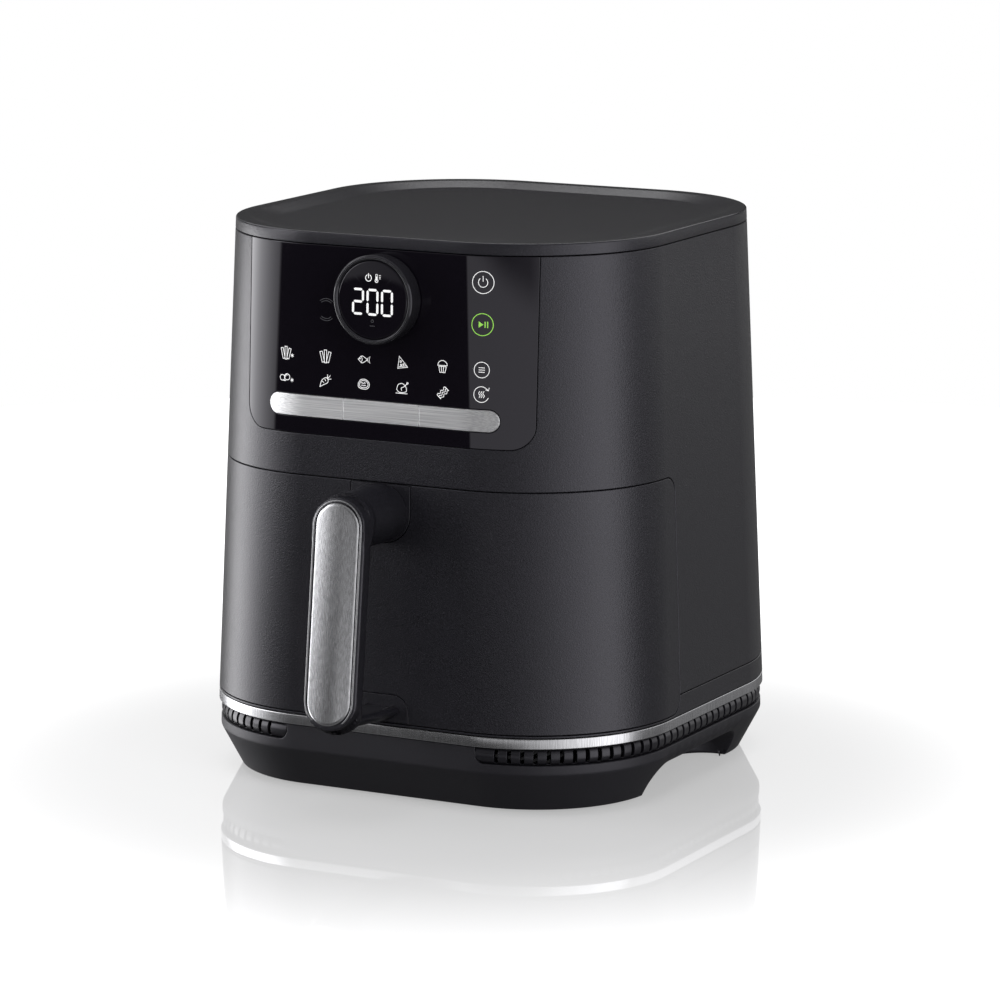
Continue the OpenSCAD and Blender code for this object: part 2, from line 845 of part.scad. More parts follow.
module heater_coil() {
    color("#4a4744") at_body() translate([0, fan_y, heater_z]) {
        coil_tube();
        translate([heater_in, 0, 0]) {
            sphere(r = heater_tube_r + 0.05, $fn = 32);
            cylinder(h = tail_rise, r = heater_tube_r, $fn = 32);
        }
        translate([heater_in, 0, tail_rise]) {
            sphere(r = heater_tube_r + 0.05, $fn = 32);
            rotate([0, 90, 0]) cylinder(h = tail_x - heater_in, r = heater_tube_r, $fn = 32);
        }
        for (p = [[heater_ends[0], tail_rise], [heater_ends[1], 0]])
            translate([p[0][0], p[0][1], p[1]]) {
                sphere(r = heater_tube_r + 0.05, $fn = 32);
                cylinder(h = heater_drop + 6 - p[1], r = heater_tube_r, $fn = 32);
            }
    }
}

// Wire guard under the coil: rings on four wires that reach the chamber's walls
module heater_guard() {
    wire = 1.2;
    wire_at = 18;
    reach = liner_half_w - liner_t - seam;
    back = liner_back - liner_t - seam - fan_y;
    front = liner_front - liner_t - seam + fan_y;
    color("#b5b7ba") at_body() translate([0, fan_y, guard_z]) {
        for (r = [24:24:96]) rotate_extrude($fn = 48) translate([r, 0]) circle(r = wire, $fn = 12);
        for (y = [-1, 1]) translate([-reach, y * wire_at, 0]) rotate([0, 90, 0])
            cylinder(h = 2 * reach, r = wire, $fn = 12);
        for (x = [-1, 1]) translate([x * wire_at, back, 0]) rotate([90, 0, 0])
            cylinder(h = back + front, r = wire, $fn = 12);
    }
}

// Flat hood over the hot-air fan, hung from the chamber's roof by its flared rim
module fan_shroud() {
    r = min(shroud_r, fan_y + liner_front - 12);
    color("#9a9c9f") at_body() difference() {
        translate([0, fan_y, roof_z - liner_t]) rotate_extrude($fn = 96)
            polygon([[30, -hood_depth], [r - 12, -hood_depth], [r - 4, 0], [r, 0], [r, -1],
                [r - 3.4, -1], [r - 11.4, -hood_depth - 1], [30, -hood_depth - 1]]);
        terminal_holes();
    }
}

module motor_bracket() {
    color("#a7a9ac") at_body() translate([0, fan_y, roof_z]) {
        difference() {
            cylinder(h = 1.5, r = cool_fan_r + 14, $fn = 72);
            translate([0, 0, -cut]) cylinder(h = far / 10, r = shaft_hole_r, $fn = 48);
        }
        for (x = [-1, 1], y = [-1, 1]) translate([x * post_at, y * post_at, cut])
            cylinder(h = motor_rise - cut, r = post_r, $fn = 32);
    }
}

module motor() {
    color("#6f7276") at_body() translate([0, fan_y, motor_z]) difference() {
        union() {
            cylinder(h = motor_h, r = motor_r, $fn = 72);
            for (a = [45, 135]) rotate([0, 0, a])
                translate([-norm([post_at, post_at]) - post_r, -6, 0])
                    cube([2 * norm([post_at, post_at]) + 2 * post_r, 12, 3]);
        }
        translate([0, 0, -cut]) cylinder(h = far / 5, r = shaft_r + shaft_gap, $fn = 48);
    }
}

module motor_shaft() {
    color("#c4c6c9") at_body() translate([0, fan_y, hot_fan_z - 8])
        cylinder(h = motor_z + motor_h + 4 - hot_fan_z + 8, r = shaft_r, $fn = 48);
}

module hot_air_fan() {
    color("#a9abae") at_body() translate([0, fan_y, hot_fan_z]) difference() {
        union() {
            translate([0, 0, hot_fan_h - 1.2]) cylinder(h = 1.2, r = hot_fan_r, $fn = 72);
            translate([0, 0, 6]) cylinder(h = hot_fan_h - 6, r = 8, $fn = 48);
            for (i = [0:hot_blades - 1]) rotate([0, 0, 360 * i / hot_blades])
                translate([hot_fan_r * 0.45, 0, 0]) rotate([0, 0, 18])
                    cube([hot_fan_r * 0.5, 1.2, hot_fan_h - 1]);
        }
        translate([0, 0, -cut]) cylinder(h = far / 5, r = shaft_r, $fn = 48);
    }
}

module fan_nut() {
    color("#c4c6c9") at_body() translate([0, fan_y, hot_fan_z + 1]) difference() {
        cylinder(h = 5, r = 6, $fn = 6);
        translate([0, 0, -cut]) cylinder(h = 7, r = shaft_r, $fn = 48);
    }
}

module cooling_fan() {
    color("#e5e5e2") at_body() translate([0, fan_y, cool_fan_z]) difference() {
        union() {
            cylinder(h = 11, r = 10, $fn = 48);
            for (i = [0:cool_blades - 1]) rotate([0, 0, 360 * i / cool_blades])
                translate([8, 0, 5.5]) rotate([32, 0, 0]) translate([0, -8, -0.75])
                    cube([cool_fan_r - 9, 16, 1.5]);
        }
        translate([0, 0, -cut]) cylinder(h = far / 5, r = shaft_r, $fn = 48);
    }
}

// Supply board on four stand-offs, over the chamber's left side
module power_board() {
    top = supply_rise + board_t / 2;
    color("#2d6b45") at_body()
        translate([supply_w / 7 - liner_half_w, -supply_l / 2, roof_z]) {
            for (x = [0.1, 0.9], y = [0.05, 0.95]) translate([x * supply_w, y * supply_l, 0])
                cylinder(h = top, r = post_r, $fn = 32);
            translate([0, 0, supply_rise]) cube([supply_w, supply_l, board_t]);
            translate([supply_w / 7, supply_l / 10, top])
                cube([supply_w * 0.4, supply_l * 0.3, supply_w / 3]);
            translate([supply_w / 7, supply_l / 2, top])
                cube([supply_w * 0.7, supply_l * 0.2, supply_w * 0.4]);
            translate([supply_w * 0.75, supply_l * 0.25, top])
                cylinder(h = supply_w * 0.4, r = supply_w / 7, $fn = 40);
        }
}

// ---------------------------------------------------------------- back

// Sleeve that leads the air from the chamber's rear wall to the outlet
module outlet_duct() {
    l = outlet_face_y - liner_back - 2 * seam;
    color("#8f9194") at_body() translate([-outlet_w / 2 + 2, liner_back, outlet_z - outlet_h / 2 + 2])
        difference() {
            cube([outlet_w - 4, l, outlet_h - 4]);
            translate([1.5, -cut, 1.5]) cube([outlet_w - 7, far / 10, outlet_h - 7]);
        }
}

module outlet_grille() {
    pitch = (outlet_w - 4) / outlet_bars;
    color("#2b2b2e") at_body() on_back(outlet_z) difference() {
        union() {
            translate([-outlet_w / 2, -outlet_h / 2, -shell_t]) cube([outlet_w, outlet_h, shell_t + 1]);
            linear_extrude(2.2) offset(r = outlet_border)
                square([outlet_w, outlet_h], center = true);
        }
        for (i = [0:outlet_bars - 1])
            translate([(i - (outlet_bars - 1) / 2) * pitch - outlet_bar_gap / 2, 3 - outlet_h / 2,
                -far / 10])
                cube([outlet_bar_gap, outlet_h - 6, far / 5]);
        translate([-outlet_w / 2 + 2, -outlet_h / 2 + 2, -shell_t - cut])
            cube([outlet_w - 4, outlet_h - 4, cut + 1]);
    }
}

module cord_gland() {
    color("#1e1e20") at_body() on_back(gland_z) translate([gland_x, 0, 0]) rotate_extrude($fn = 64)
        polygon([
            [lead_r, -9], [gland_r, -9], [gland_r, 0.1], [gland_r + 2.5, 0.1],
            [gland_r + 2.5, 1.6], [gland_r + 1.5, 2.6], [lead_r, 2.6]
        ]);
}

// Switch that stops the heater while the drawer is out; the pan's rim presses its plunger
module door_switch() {
    tip = pan_y + pan_half_d + pan_rim + seam;
    color("#1a1a1c") at_body() translate([switch_x, 0, pan_z1 - pan_t / 2]) {
        translate([-switch_l / 2, liner_back, -0.3 * switch_l])
            cube([switch_l, 0.4 * switch_l, 0.6 * switch_l]);
        translate([0, tip, 0]) rotate([-90, 0, 0])
            cylinder(h = liner_back - tip + 1, r = plunger_r, $fn = 32);
    }
}

// ---------------------------------------------------------------- drawer

// Front views of the two root pads: squared at the drawer's edge, rounded at the other end
module root_outline(grow) {
    r_top = root_w / 2 - 2;
    r_low = 11;
    translate([0, drawer_z1 - root_top_h]) offset(r = r_top + grow) offset(delta = -r_top)
        translate([-root_w / 2, 0]) square([root_w, far / 4]);
    translate([0, drawer_z0 + root_bottom_h]) offset(r = r_low + grow) offset(delta = -r_low)
        translate([-root_w / 2, -far / 4]) square([root_w, far / 4]);
}

module root_pads(t, grow) {
    intersection() {
        difference() {
            body([[drawer_z0, grow > 0 ? -cut : 0], [drawer_z1, grow > 0 ? -cut : 0]]);
            body([[drawer_z0 - cut, t], [drawer_z1 + cut, t]]);
        }
        to_front() root_outline(grow);
    }
}

module handle_screw_places() {
    for (x = [-8, 8], z = [grip_z1 - grip_r, drawer_z0 + root_bottom_h / 2])
        translate([x, -half_d(z), z]) children();
}

module drawer_front() {
    color("#3d3e42") at_body() difference() {
        intersection() {
            difference() {
                body([[drawer_z0, 0], [drawer_z1, 0]]);
                body([[drawer_z0 + shell_t, shell_t], [drawer_z1 - shell_t, shell_t]]);
            }
            across(far) drawer_outline(0);
        }
        intersection() {
            body([[drawer_z0 - cut, 2 * shell_t], [drawer_z1 + cut, 2 * shell_t]]);
            translate([-far, inner_front, 0]) cube([2 * far, far, far]);
        }
        root_pads(root_t + 0.1, 0.15);
        handle_screw_places() rotate([-90, 0, 0])
            cylinder(h = far / 10, r = screw_r + 0.1, $fn = 32);
    }
}

// Inner cover of the drawer front; it closes the chamber when the drawer is in
module drawer_inner() {
    gap = shell_t + seam;
    z0 = drawer_z0 + gap;
    z1 = drawer_z1 - gap;
    color("#2a2a2d") at_body() difference() {
        intersection() {
            body([[z0, gap], [z1, gap]]);
            translate([-far, inner_front - 16, 0]) cube([2 * far, 16, far]);
        }
        intersection() {
            body([[z0 + 2, gap + 2], [z1 - 2, gap + 2]]);
            translate([-far, inner_front - 17, 0]) cube([2 * far, 14.5, far]);
        }
    }
}

// Local frame of the grip: its face at y = 0, its middle at the origin, leaning with the grip
module on_grip() {
    translate([0, (grip_y0 + grip_y1) / 2, (grip_z0 + grip_z1) / 2]) rotate([-grip_tilt, 0, 0])
        children();
}

module grip_bar(r, len, t) {
    rotate([90, 0, 0]) translate([0, 0, -t]) linear_extrude(t)
        offset(r = r - 1, $fn = 64) square([2, len - 2 * r + 2], center = true);
}

// Thin disc that an arm is drawn between
module arm_disc(r) rotate([90, 0, 0]) cylinder(h = 0.5, r = r, center = true, $fn = 32);

module upper_arm() {
    hull() {
        on_grip() translate([0, grip_t - 1, grip_len / 2 - grip_r]) arm_disc(grip_r - 0.2);
        translate([0, -half_d(drawer_z1) + 0.6, drawer_z1 - root_top_h / 2 - 0.2])
            arm_disc(root_top_h / 2 - 0.2);
    }
}

module lower_arm() {
    root_half = root_w / 2 - 1.5;
    intersection() {
        hull() {
            on_grip() translate([0, grip_t - 1, grip_r - grip_len / 2]) arm_disc(grip_r - 0.2);
            translate([0, -half_d(drawer_z0) + 0.4, drawer_z0 + root_half + 0.4])
                arm_disc(root_half);
        }
        across(2 * root_w) polygon([
            [grip_y0 + grip_t - 1, drawer_z0 - 10],
            [0, drawer_z0 - 10],
            [0, drawer_z0 + arm_h - 6],
            [-half_d(drawer_z0), drawer_z0 + arm_h],
            [grip_y0 + grip_t + 5, grip_z0 + arm_h - 3.4],
            [grip_y0 + grip_t + 1, grip_z0 + arm_h],
            [grip_y0 + grip_t - 1, grip_z0 + arm_h + 3]
        ]);
    }
}

module handle() {
    color("#3d3e42") at_body() difference() {
        union() {
            difference() {
                on_grip() grip_bar(grip_r, grip_len, grip_t);
                on_grip() translate([0, -cut, 0])
                    grip_bar(inlay_r + 0.1, grip_len - 2 * inlay_border + 0.2, inlay_t + cut);
            }
            difference() {
                union() {
                    upper_arm();
                    lower_arm();
                }
                body([[drawer_z0 - 20, root_t / 2], [drawer_z1 + 20, root_t / 2]]);
            }
            root_pads(root_t, 0);
        }
        handle_screw_places() rotate([90, 0, 0]) translate([0, 0, -far / 20])
            cylinder(h = far / 20 + 12, r = screw_r, $fn = 32);
    }
}

module handle_inlay() {
    color("#c2c3c5") at_body() on_grip() translate([0, -0.3, 0])
        grip_bar(inlay_r, grip_len - 2 * inlay_border, inlay_t + 0.25);
}

module handle_screws() {
    color("#8d8f92") at_body() handle_screw_places() rotate([90, 0, 0]) {
        translate([0, 0, -shell_t]) cylinder(h = shell_t + 10, r = screw_r, $fn = 32);
        translate([0, 0, -shell_t - 2.4]) cylinder(h = 2.3, r = screw_head_r, $fn = 32);
    }
}

// One ring of the pan at height z, t inside its outer face
function pan_ring(z, t) = let (s = pan_draft * (pan_z1 - z) / pan_h)
    [for (p = plan(pan_half_w - s - t, pan_half_d - s - t, pan_r - s - t, z, 8))
        [p[0], p[1] + pan_y, p[2]]];

module pan() {
    round = 6;
    rim_z = pan_z1 - pan_t;
    color("#2c2c2e") at_body() difference() {
        union() {
            skin([pan_ring(pan_z0, round), pan_ring(pan_z0 + round / 3, round / 3),
                pan_ring(pan_z0 + round, 0), pan_ring(pan_z1, 0)]);
            skin([pan_ring(rim_z, -pan_rim), pan_ring(pan_z1, -pan_rim)]);
        }
        skin([pan_ring(pan_z0 + pan_t, round + pan_t), pan_ring(pan_z0 + round, pan_t),
            pan_ring(pan_z1 + cut, pan_t)]);
    }
}

module crisper_plate() {
    slots = [for (x = [-4:4]) for (y = [-1:1]) if (x != 0 || y != 0) [x, y]];
    color("#343436") at_body() difference() {
        skin([pan_ring(plate_z, pan_t + plate_gap), pan_ring(plate_z + plate_t, pan_t + plate_gap)]);
        for (s = slots)
            translate([s[0] * plate_pitch_x - plate_slot_w / 2,
                pan_y + s[1] * plate_pitch_y - plate_slot_l / 2, plate_z - cut])
                cube([plate_slot_w, plate_slot_l, plate_t + 2 * cut]);
        translate([-plate_grip[0] / 2, pan_y - plate_grip[1] / 2, plate_z - cut])
            cube([plate_grip[0], plate_grip[1], plate_t + 2 * cut]);
    }
}

// Four silicone feet at the plate's corners, standing on the pan's floor
module plate_bumpers() {
    s = pan_draft * (pan_z1 - plate_z) / pan_h;
    x = pan_half_w - s - bumper_in;
    y = pan_half_d - s - bumper_in;
    color("#1d1d1e") at_body() for (i = [-1, 1], j = [-1, 1])
        translate([i * x, pan_y + j * y, pan_z0 + pan_t + 0.1])
            cylinder(h = plate_z - pan_z0 - pan_t - 0.1, r = bumper_r, $fn = 40);
}

top_cover();
upper_housing();
lower_housing();
metal_band();
base_skirt();
bottom_plate();
grille_left();
grille_right();
rubber_feet();
base_screws();
control_panel();
bar_centre();
key_left();
key_right();
key_switches();
dial_ring();
dial_core();
dial_lens();
control_board();
cooking_chamber();
runner_left();
runner_right();
heater_coil();
heater_guard();
fan_shroud();
motor_bracket();
motor();
motor_shaft();
hot_air_fan();
cooling_fan();
fan_nut();
power_board();
outlet_duct();
outlet_grille();
cord_gland();
door_switch();
drawer_front();
drawer_inner();
handle();
handle_inlay();
handle_screws();
pan();
crisper_plate();
plate_bumpers();
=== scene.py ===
"""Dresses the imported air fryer: shells, panel, dial, handle, base and inside, each by its own operator."""

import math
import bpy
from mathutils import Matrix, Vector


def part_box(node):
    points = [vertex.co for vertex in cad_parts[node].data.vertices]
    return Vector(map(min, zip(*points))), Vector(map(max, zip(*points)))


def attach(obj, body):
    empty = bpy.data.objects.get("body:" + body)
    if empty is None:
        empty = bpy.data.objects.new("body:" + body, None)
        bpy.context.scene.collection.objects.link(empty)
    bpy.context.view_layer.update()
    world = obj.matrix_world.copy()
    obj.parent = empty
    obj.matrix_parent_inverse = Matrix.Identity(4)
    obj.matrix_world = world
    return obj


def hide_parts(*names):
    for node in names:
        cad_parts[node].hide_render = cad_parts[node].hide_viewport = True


bl_info = {
    "name": "Air Fryer Dresser",
    "version": (1, 0, 0),
    "blender": (4, 5, 0),
    "location": "3D View > Sidebar > Air Fryer",
    "description": "Builds the visible shells, panel, handle and base of an air fryer on its packed frame",
    "category": "Add Mesh",
}

import bmesh
import bpy
import numpy as np
from mathutils import Matrix, Vector
from mathutils.geometry import delaunay_2d_cdt
from bpy.props import FloatProperty, FloatVectorProperty, IntProperty, PointerProperty
from bpy.types import Operator, Panel, PropertyGroup

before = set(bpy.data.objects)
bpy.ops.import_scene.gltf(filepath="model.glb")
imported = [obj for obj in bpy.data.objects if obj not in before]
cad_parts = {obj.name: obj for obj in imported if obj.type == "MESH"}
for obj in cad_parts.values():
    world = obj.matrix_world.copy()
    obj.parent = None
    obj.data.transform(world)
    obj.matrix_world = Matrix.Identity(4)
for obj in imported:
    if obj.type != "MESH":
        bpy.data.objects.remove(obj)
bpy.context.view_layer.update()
MM = 0.001
CENTRE_Y = sum(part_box("metal_band")[i][1] for i in (0, 1)) / 2
CAD_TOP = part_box("top_cover")[1][2]


# ---- sizes and colours


def length(name, description, default, low=0.0, high=2.0):
    """A size in metres, shown with its unit."""
    return FloatProperty(
        name=name, description=description, default=default, min=low, max=high, unit="LENGTH", precision=4
    )


def colour(name, description, default):
    return FloatVectorProperty(
        name=name, description=description, default=default, min=0.0, max=1.0, size=3, subtype="COLOR"
    )


class FryerBodySizes(PropertyGroup):
    """Outer skin of the body, and the levels of its parting lines."""

    height: length("Height", "Height of the body above the table", CAD_TOP)
    top_half_width: length("Top Half Width", "Half of the width at the top rim", 0.1291)
    top_half_depth: length("Top Half Depth", "Half of the depth at the top rim", 0.1288)
    flare_width: length("Side Lean", "How far each side leans out down to the table", 0.0111)
    flare_depth: length("Front Lean", "How far front and back lean out down to the table", 0.009)
    corner_radius: length("Corner Radius", "Corner radius of the body in plan", 0.0839)
    wall: length("Wall", "Wall of the moulded shells", 0.003)
    edge: length("Edge Rounding", "Rounding of the edges at a parting line", 0.0005)
    seam: length("Seam", "Gap at a parting line", 0.0004)
    cap_level: length("Cover Level", "Height of the top cover's parting line", 0.3093)
    rim_width: length("Rim Width", "Width of the flat rim round the tray", 0.008)
    tray_run: length("Tray Slope", "Width of the slope down to the tray", 0.014)
    tray_depth: length("Tray Depth", "Depth of the tray below the rim", 0.0026)
    lower_level: length("Lower Housing Level", "Height of the lower housing's top edge at the sides", 0.0563)
    drawer_low: length("Drawer Bottom", "Height of the drawer front's lower edge", 0.0465)
    drawer_high: length("Drawer Top", "Height of the drawer front's upper edge", 0.1803)
    drawer_side: length(
        "Drawer Wrap", "Distance of the drawer front's side edge in front of the centre", 0.0383
    )
    drawer_corner: length("Drawer Corner", "Corner radius of the drawer front at the sides", 0.0095)


class FryerPanelSizes(PropertyGroup):
    """Glossy panel, key bar and dial."""

    width: length("Panel Width", "Width of the glossy panel", 0.18)
    low: length("Panel Bottom", "Height of the panel's lower edge", 0.2038)
    corner: length("Panel Corner", "Radius of the panel's lower corners", 0.013)
    bar_length: length("Bar Length", "Length of the metal key bar", 0.1436)
    bar_height: length("Bar Height", "Height of the key bar", 0.012)
    bar_level: length("Bar Level", "Height of the bar's middle", 0.2193)
    bar_middle: length("Bar Middle", "Length of the bar's fixed middle piece", 0.0476)
    bar_proud: length("Bar Proud", "How far the bar stands out of the panel", 0.0006)
    dial_radius: length("Dial Radius", "Radius of the turning ring", 0.0245)
    dial_reach: length("Dial Reach", "How far the dial stands out of the panel", 0.0115)
    dial_level: length("Dial Level", "Height of the dial's middle", 0.2823)
    glass_radius: length("Glass Radius", "Radius of the display's glass", 0.0216)
    knurls: IntProperty(name="Knurls", description="Ribs round the dial's ring", default=120, min=24, max=200)
    stroke: length("Stroke", "Width of a symbol's line", 0.00036)


class FryerHandleSizes(PropertyGroup):
    """Handle of the drawer."""

    width: length("Grip Width", "Width of the grip", 0.0326)
    thickness: length("Grip Thickness", "Thickness of the grip", 0.011)
    low: length("Grip Bottom", "Height of the grip's lower end", 0.053)
    high: length("Grip Top", "Height of the grip's upper end", 0.1797)
    reach_low: length("Low Reach", "Distance of the grip's face from the drawer, at the bottom", 0.0579)
    reach_high: length("High Reach", "Distance of the grip's face from the drawer, at the top", 0.0464)
    border: length("Inlay Border", "Border of the grip round the inlay", 0.0029)
    fillet: length("Inner Fillet", "Rounding where the arms meet the grip", 0.006)
    cell: length("Mesh Cell", "Cell of the grid that the handle's skin is drawn on", 0.00095)


class FryerBaseSizes(PropertyGroup):
    """Band, base moulding, grilles and feet."""

    base_level: length("Base Level", "Height of the base moulding's top edge", 0.0385)
    band_level: length("Band Level", "Height of the metal band's top edge", 0.0447)
    taper_level: length("Taper Level", "Height where the base starts to taper in", 0.024)
    taper: FloatProperty(
        name="Taper", description="Angle of the tapered skirt", default=math.radians(30), subtype="ANGLE"
    )
    inset: length("Base Inset", "How far the base stands back from the body", 0.0017)
    lift: length("Skirt Lift", "Gap between the skirt and the table", 0.0015)
    recess_length: length("Recess Length", "Length of the hand recess", 0.11)
    recess_height: length("Recess Height", "Height of the hand recess", 0.0195)
    recess_wall: length("Recess Wall", "Distance of the recess's inner wall from the centre", 0.1)
    recess_shift: length("Recess Shift", "Distance of the recess's middle in front of the centre", 0.0055)
    recess_corner: length("Recess Corner", "Corner radius of the recess seen from the side", 0.015)
    recess_plan: length("Recess Plan Corner", "Corner radius of the recess in plan", 0.022)
    grille_height: length("Grille Height", "Height of a grille strip", 0.0088)
    grille_bulge: length("Grille Bulge", "How far the strip bulges", 0.0018)
    grille_end: length("Grille End", "Distance of the strip's end from the middle of the front", 0.06)
    slot_width: length("Slot Width", "Width of one slot of the grille", 0.0024)
    corner_slots: IntProperty(
        name="Corner Slots", description="Slots round each corner", default=16, min=4, max=24
    )
    side_slots: IntProperty(name="Side Slots", description="Slots along each side", default=13, min=3, max=24)
    foot_radius: length("Foot Radius", "Radius of a rubber foot", 0.009)


class FryerFinishes(PropertyGroup):
    """Colours of the finishes."""

    paint: colour("Paint", "Satin anthracite of the body", (0.0105, 0.0102, 0.0132))
    dark: colour("Dark Plastic", "Moulded base and grilles", (0.0085, 0.0082, 0.0106))
    gloss: colour("Gloss", "Glossy panel and glass", (0.0045, 0.0035, 0.006))
    steel: colour("Steel", "Brushed metal of bar, inlay and band", (0.5, 0.5, 0.52))
    symbol: colour("Symbol", "Lit symbols", (0.9, 0.9, 0.9))
    start: colour("Start Symbol", "Lit start symbol", (0.26, 0.58, 0.08))
    coat: colour("Non-stick", "Non-stick coat of the pan", (0.03, 0.03, 0.032))
    sheet: colour("Sheet", "Bare sheet metal inside", (0.42, 0.42, 0.43))


class Sizes:
    """A property group's lengths in millimetres, and its counts and angles as they are."""

    def __init__(self, group):
        for name, prop in group.bl_rna.properties.items():
            value = getattr(group, name)
            setattr(self, name, value / MM if prop.unit == "LENGTH" else value)


def body_sizes():
    return Sizes(bpy.context.scene.fryer_body)


def panel_sizes():
    return Sizes(bpy.context.scene.fryer_panel)


def handle_sizes():
    return Sizes(bpy.context.scene.fryer_handle)


def base_sizes():
    return Sizes(bpy.context.scene.fryer_base)


def finishes():
    return bpy.context.scene.fryer_finishes


def round_axis(box):
    """A box's two corners in millimetres round the body's axis."""
    return [[v / MM for v in (x, y - CENTRE_Y, z)] for x, y, z in box]


def middle_of(box):
    """Across and height of a box's middle."""
    (x0, _, z0), (x1, _, z1) = box
    return (x0 + x1) / 2, (z0 + z1) / 2


# ---- the body's skin, in millimetres


class Skin:
    """The body's rounded plan, which widens evenly from the rim to the table.

    s runs along the plan from the middle of the front, positive to the right, and z is the height.
    """

    def __init__(self):
        b = body_sizes()
        self.h = b.height
        self.w, self.d = b.top_half_width, b.top_half_depth
        self.fw, self.fd = b.flare_width, b.flare_depth
        self.r = b.corner_radius
        self.arc = self.r * math.pi / 2

    def half_width(self, z):
        return self.w + self.fw * (self.h - z) / self.h

    def half_depth(self, z):
        return self.d + self.fd * (self.h - z) / self.h

    def breaks(self, z):
        """Distances along the plan where a straight meets an arc, up to the middle of the back."""
        cx, cy = self.half_width(z) - self.r, self.half_depth(z) - self.r
        front = cx
        side = cx + self.arc
        back = side + 2 * cy
        return cx, cy, front, side, back, back + self.arc

    def end(self, z):
        cx, _, _, _, _, last = self.breaks(z)
        return last + cx

    def point(self, s, z, inset=0.0):
        s, z, inset = np.broadcast_arrays(*(np.asarray(v, float) for v in (s, z, inset)))
        cx, cy, front, side, back, last = self.breaks(z)
        s = np.where(s < -last - cx, s + 2 * (last + cx), s)
        a, r = np.abs(s), self.r - inset
        t1, t2 = (a - front) / self.r, (a - back) / self.r
        cases = [a < front, a < side, a < back, a < last]
        x = np.select(cases, [a, cx + r * np.sin(t1), cx + r, cx + r * np.cos(t2)], cx - (a - last))
        y = np.select(cases, [-(cy + r), -(cy + r * np.cos(t1)), a - side - cy, cy + r * np.sin(t2)], cy + r)
        return np.stack([np.where(s < 0, -x, x), y, z], -1)

    def s_of_x(self, x, z):
        """Where the front half of the plan is x to the right."""
        cx = self.half_width(z) - self.r
        t = np.arcsin(np.clip((x - cx) / self.r, 0, 1))
        return np.where(x < cx, x, cx + self.r * t)

    def s_of_y(self, y, z):
        """Where the right side of the plan is y behind the centre."""
        _, cy, front, side, back, _ = self.breaks(z)
        before = front + self.r * np.arccos(np.clip((-y - cy) / self.r, 0, 1))
        behind = back + self.r * np.arcsin(np.clip((y - cy) / self.r, 0, 1))
        return np.select([y < -cy, y <= cy], [before, side + y + cy], behind)

    def normal(self, s, z):
        """Outward direction of the bare skin."""
        s, z = np.broadcast_arrays(np.asarray(s, float), np.asarray(z, float))
        cx, _, front, _, back, last = self.breaks(z)
        s = np.where(s < -last - cx, s + 2 * (last + cx), s)
        a = np.abs(s)
        turn = np.clip((a - front) / self.r, 0, math.pi / 2) + np.clip((a - back) / self.r, 0, math.pi / 2)
        nx, ny = np.sin(turn) * np.where(s < 0, -1, 1), -np.cos(turn)
        n = np.stack([nx, ny, (np.abs(nx) * self.fw + np.abs(ny) * self.fd) / self.h], -1)
        return n / np.linalg.norm(n, axis=-1, keepdims=True)

    def columns(self, z, step=2.1, flat=9.0):
        """Distances along the right half of the plan, on lines that follow the skin's rulings."""
        cx, _, front, side, back, last = (float(v) for v in self.breaks(z))
        spans = (
            (0, front, flat), (front, side, step), (side, back, flat), (back, last, step),
            (last, last + cx, flat)
        )
        out = []
        for (a, b, gap), fixed in zip(spans, (50, self.arc, 96, self.arc, 50)):
            count = max(2, round(fixed / gap))
            out += [a + (b - a) * k / count for k in range(count)]
        return np.array(out + [last + cx])


# ---- meshes


def linked(name, data):
    """A new object in the scene."""
    obj = bpy.data.objects.new(name, data)
    bpy.context.scene.collection.objects.link(obj)
    return obj


def quads(starts, across):
    """Faces of a grid of points, each from the number of its first corner and the points in a row."""
    return [[i, i + 1, i + across + 1, i + across] for i in starts]


def new_object(name, points, faces, material=None, sharp=35, centred=True):
    """A smooth-shaded object from points in millimetres round the body's axis."""
    points = np.asarray(points, float) * MM
    if centred:
        points = points + [0, CENTRE_Y, 0]
    mesh = bpy.data.meshes.new(name)
    mesh.from_pydata(points.tolist(), [], [list(map(int, f)) for f in faces])
    if material is not None:
        mesh.materials.append(material)
    return shade(linked(name, mesh), sharp)


def shade(obj, sharp=35):
    obj.data.shade_smooth()
    if sharp:
        obj.data.set_sharp_from_angle(angle=math.radians(sharp))
    return obj


def outward(obj, sharp=35, merge=1e-7):
    """Merges doubles and turns every face outwards."""
    bm = bmesh.new()
    bm.from_mesh(obj.data)
    bmesh.ops.remove_doubles(bm, verts=bm.verts, dist=merge)
    bmesh.ops.recalc_face_normals(bm, faces=bm.faces)
    bm.to_mesh(obj.data)
    bm.free()
    return shade(obj, sharp)


def arc(cx, cy, r, start, stop, steps=10):
    """Points on an arc, angles in degrees."""
    angles = [math.radians(start + (stop - start) * k / steps) for k in range(steps + 1)]
    return [(cx + r * math.cos(a), cy + r * math.sin(a)) for a in angles]


def rounded_box(x0, x1, y0, y1, radii, steps=10):
    """A rectangle with its own radius at each corner: low right, high right, high left, low left."""
    corners = ((x1, y0, -1, 1, -90), (x1, y1, -1, -1, 0), (x0, y1, 1, -1, 90), (x0, y0, 1, 1, 180))
    loop = []
    for (x, y, sx, sy, start), r in zip(corners, radii):
        loop += arc(x + sx * r, y + sy * r, r, start, start + 90, steps) if r > 0.01 else [(x, y)]
    return loop


def dense(loop, gap=2.0):
    """The same closed loop with points at most a gap apart."""
    out = []
    for (ax, ay), (bx, by) in zip(loop, loop[1:] + loop[:1]):
        count = max(1, math.ceil(math.hypot(bx - ax, by - ay) / gap))
        out += [(ax + (bx - ax) * k / count, ay + (by - ay) * k / count) for k in range(count)]
    return out


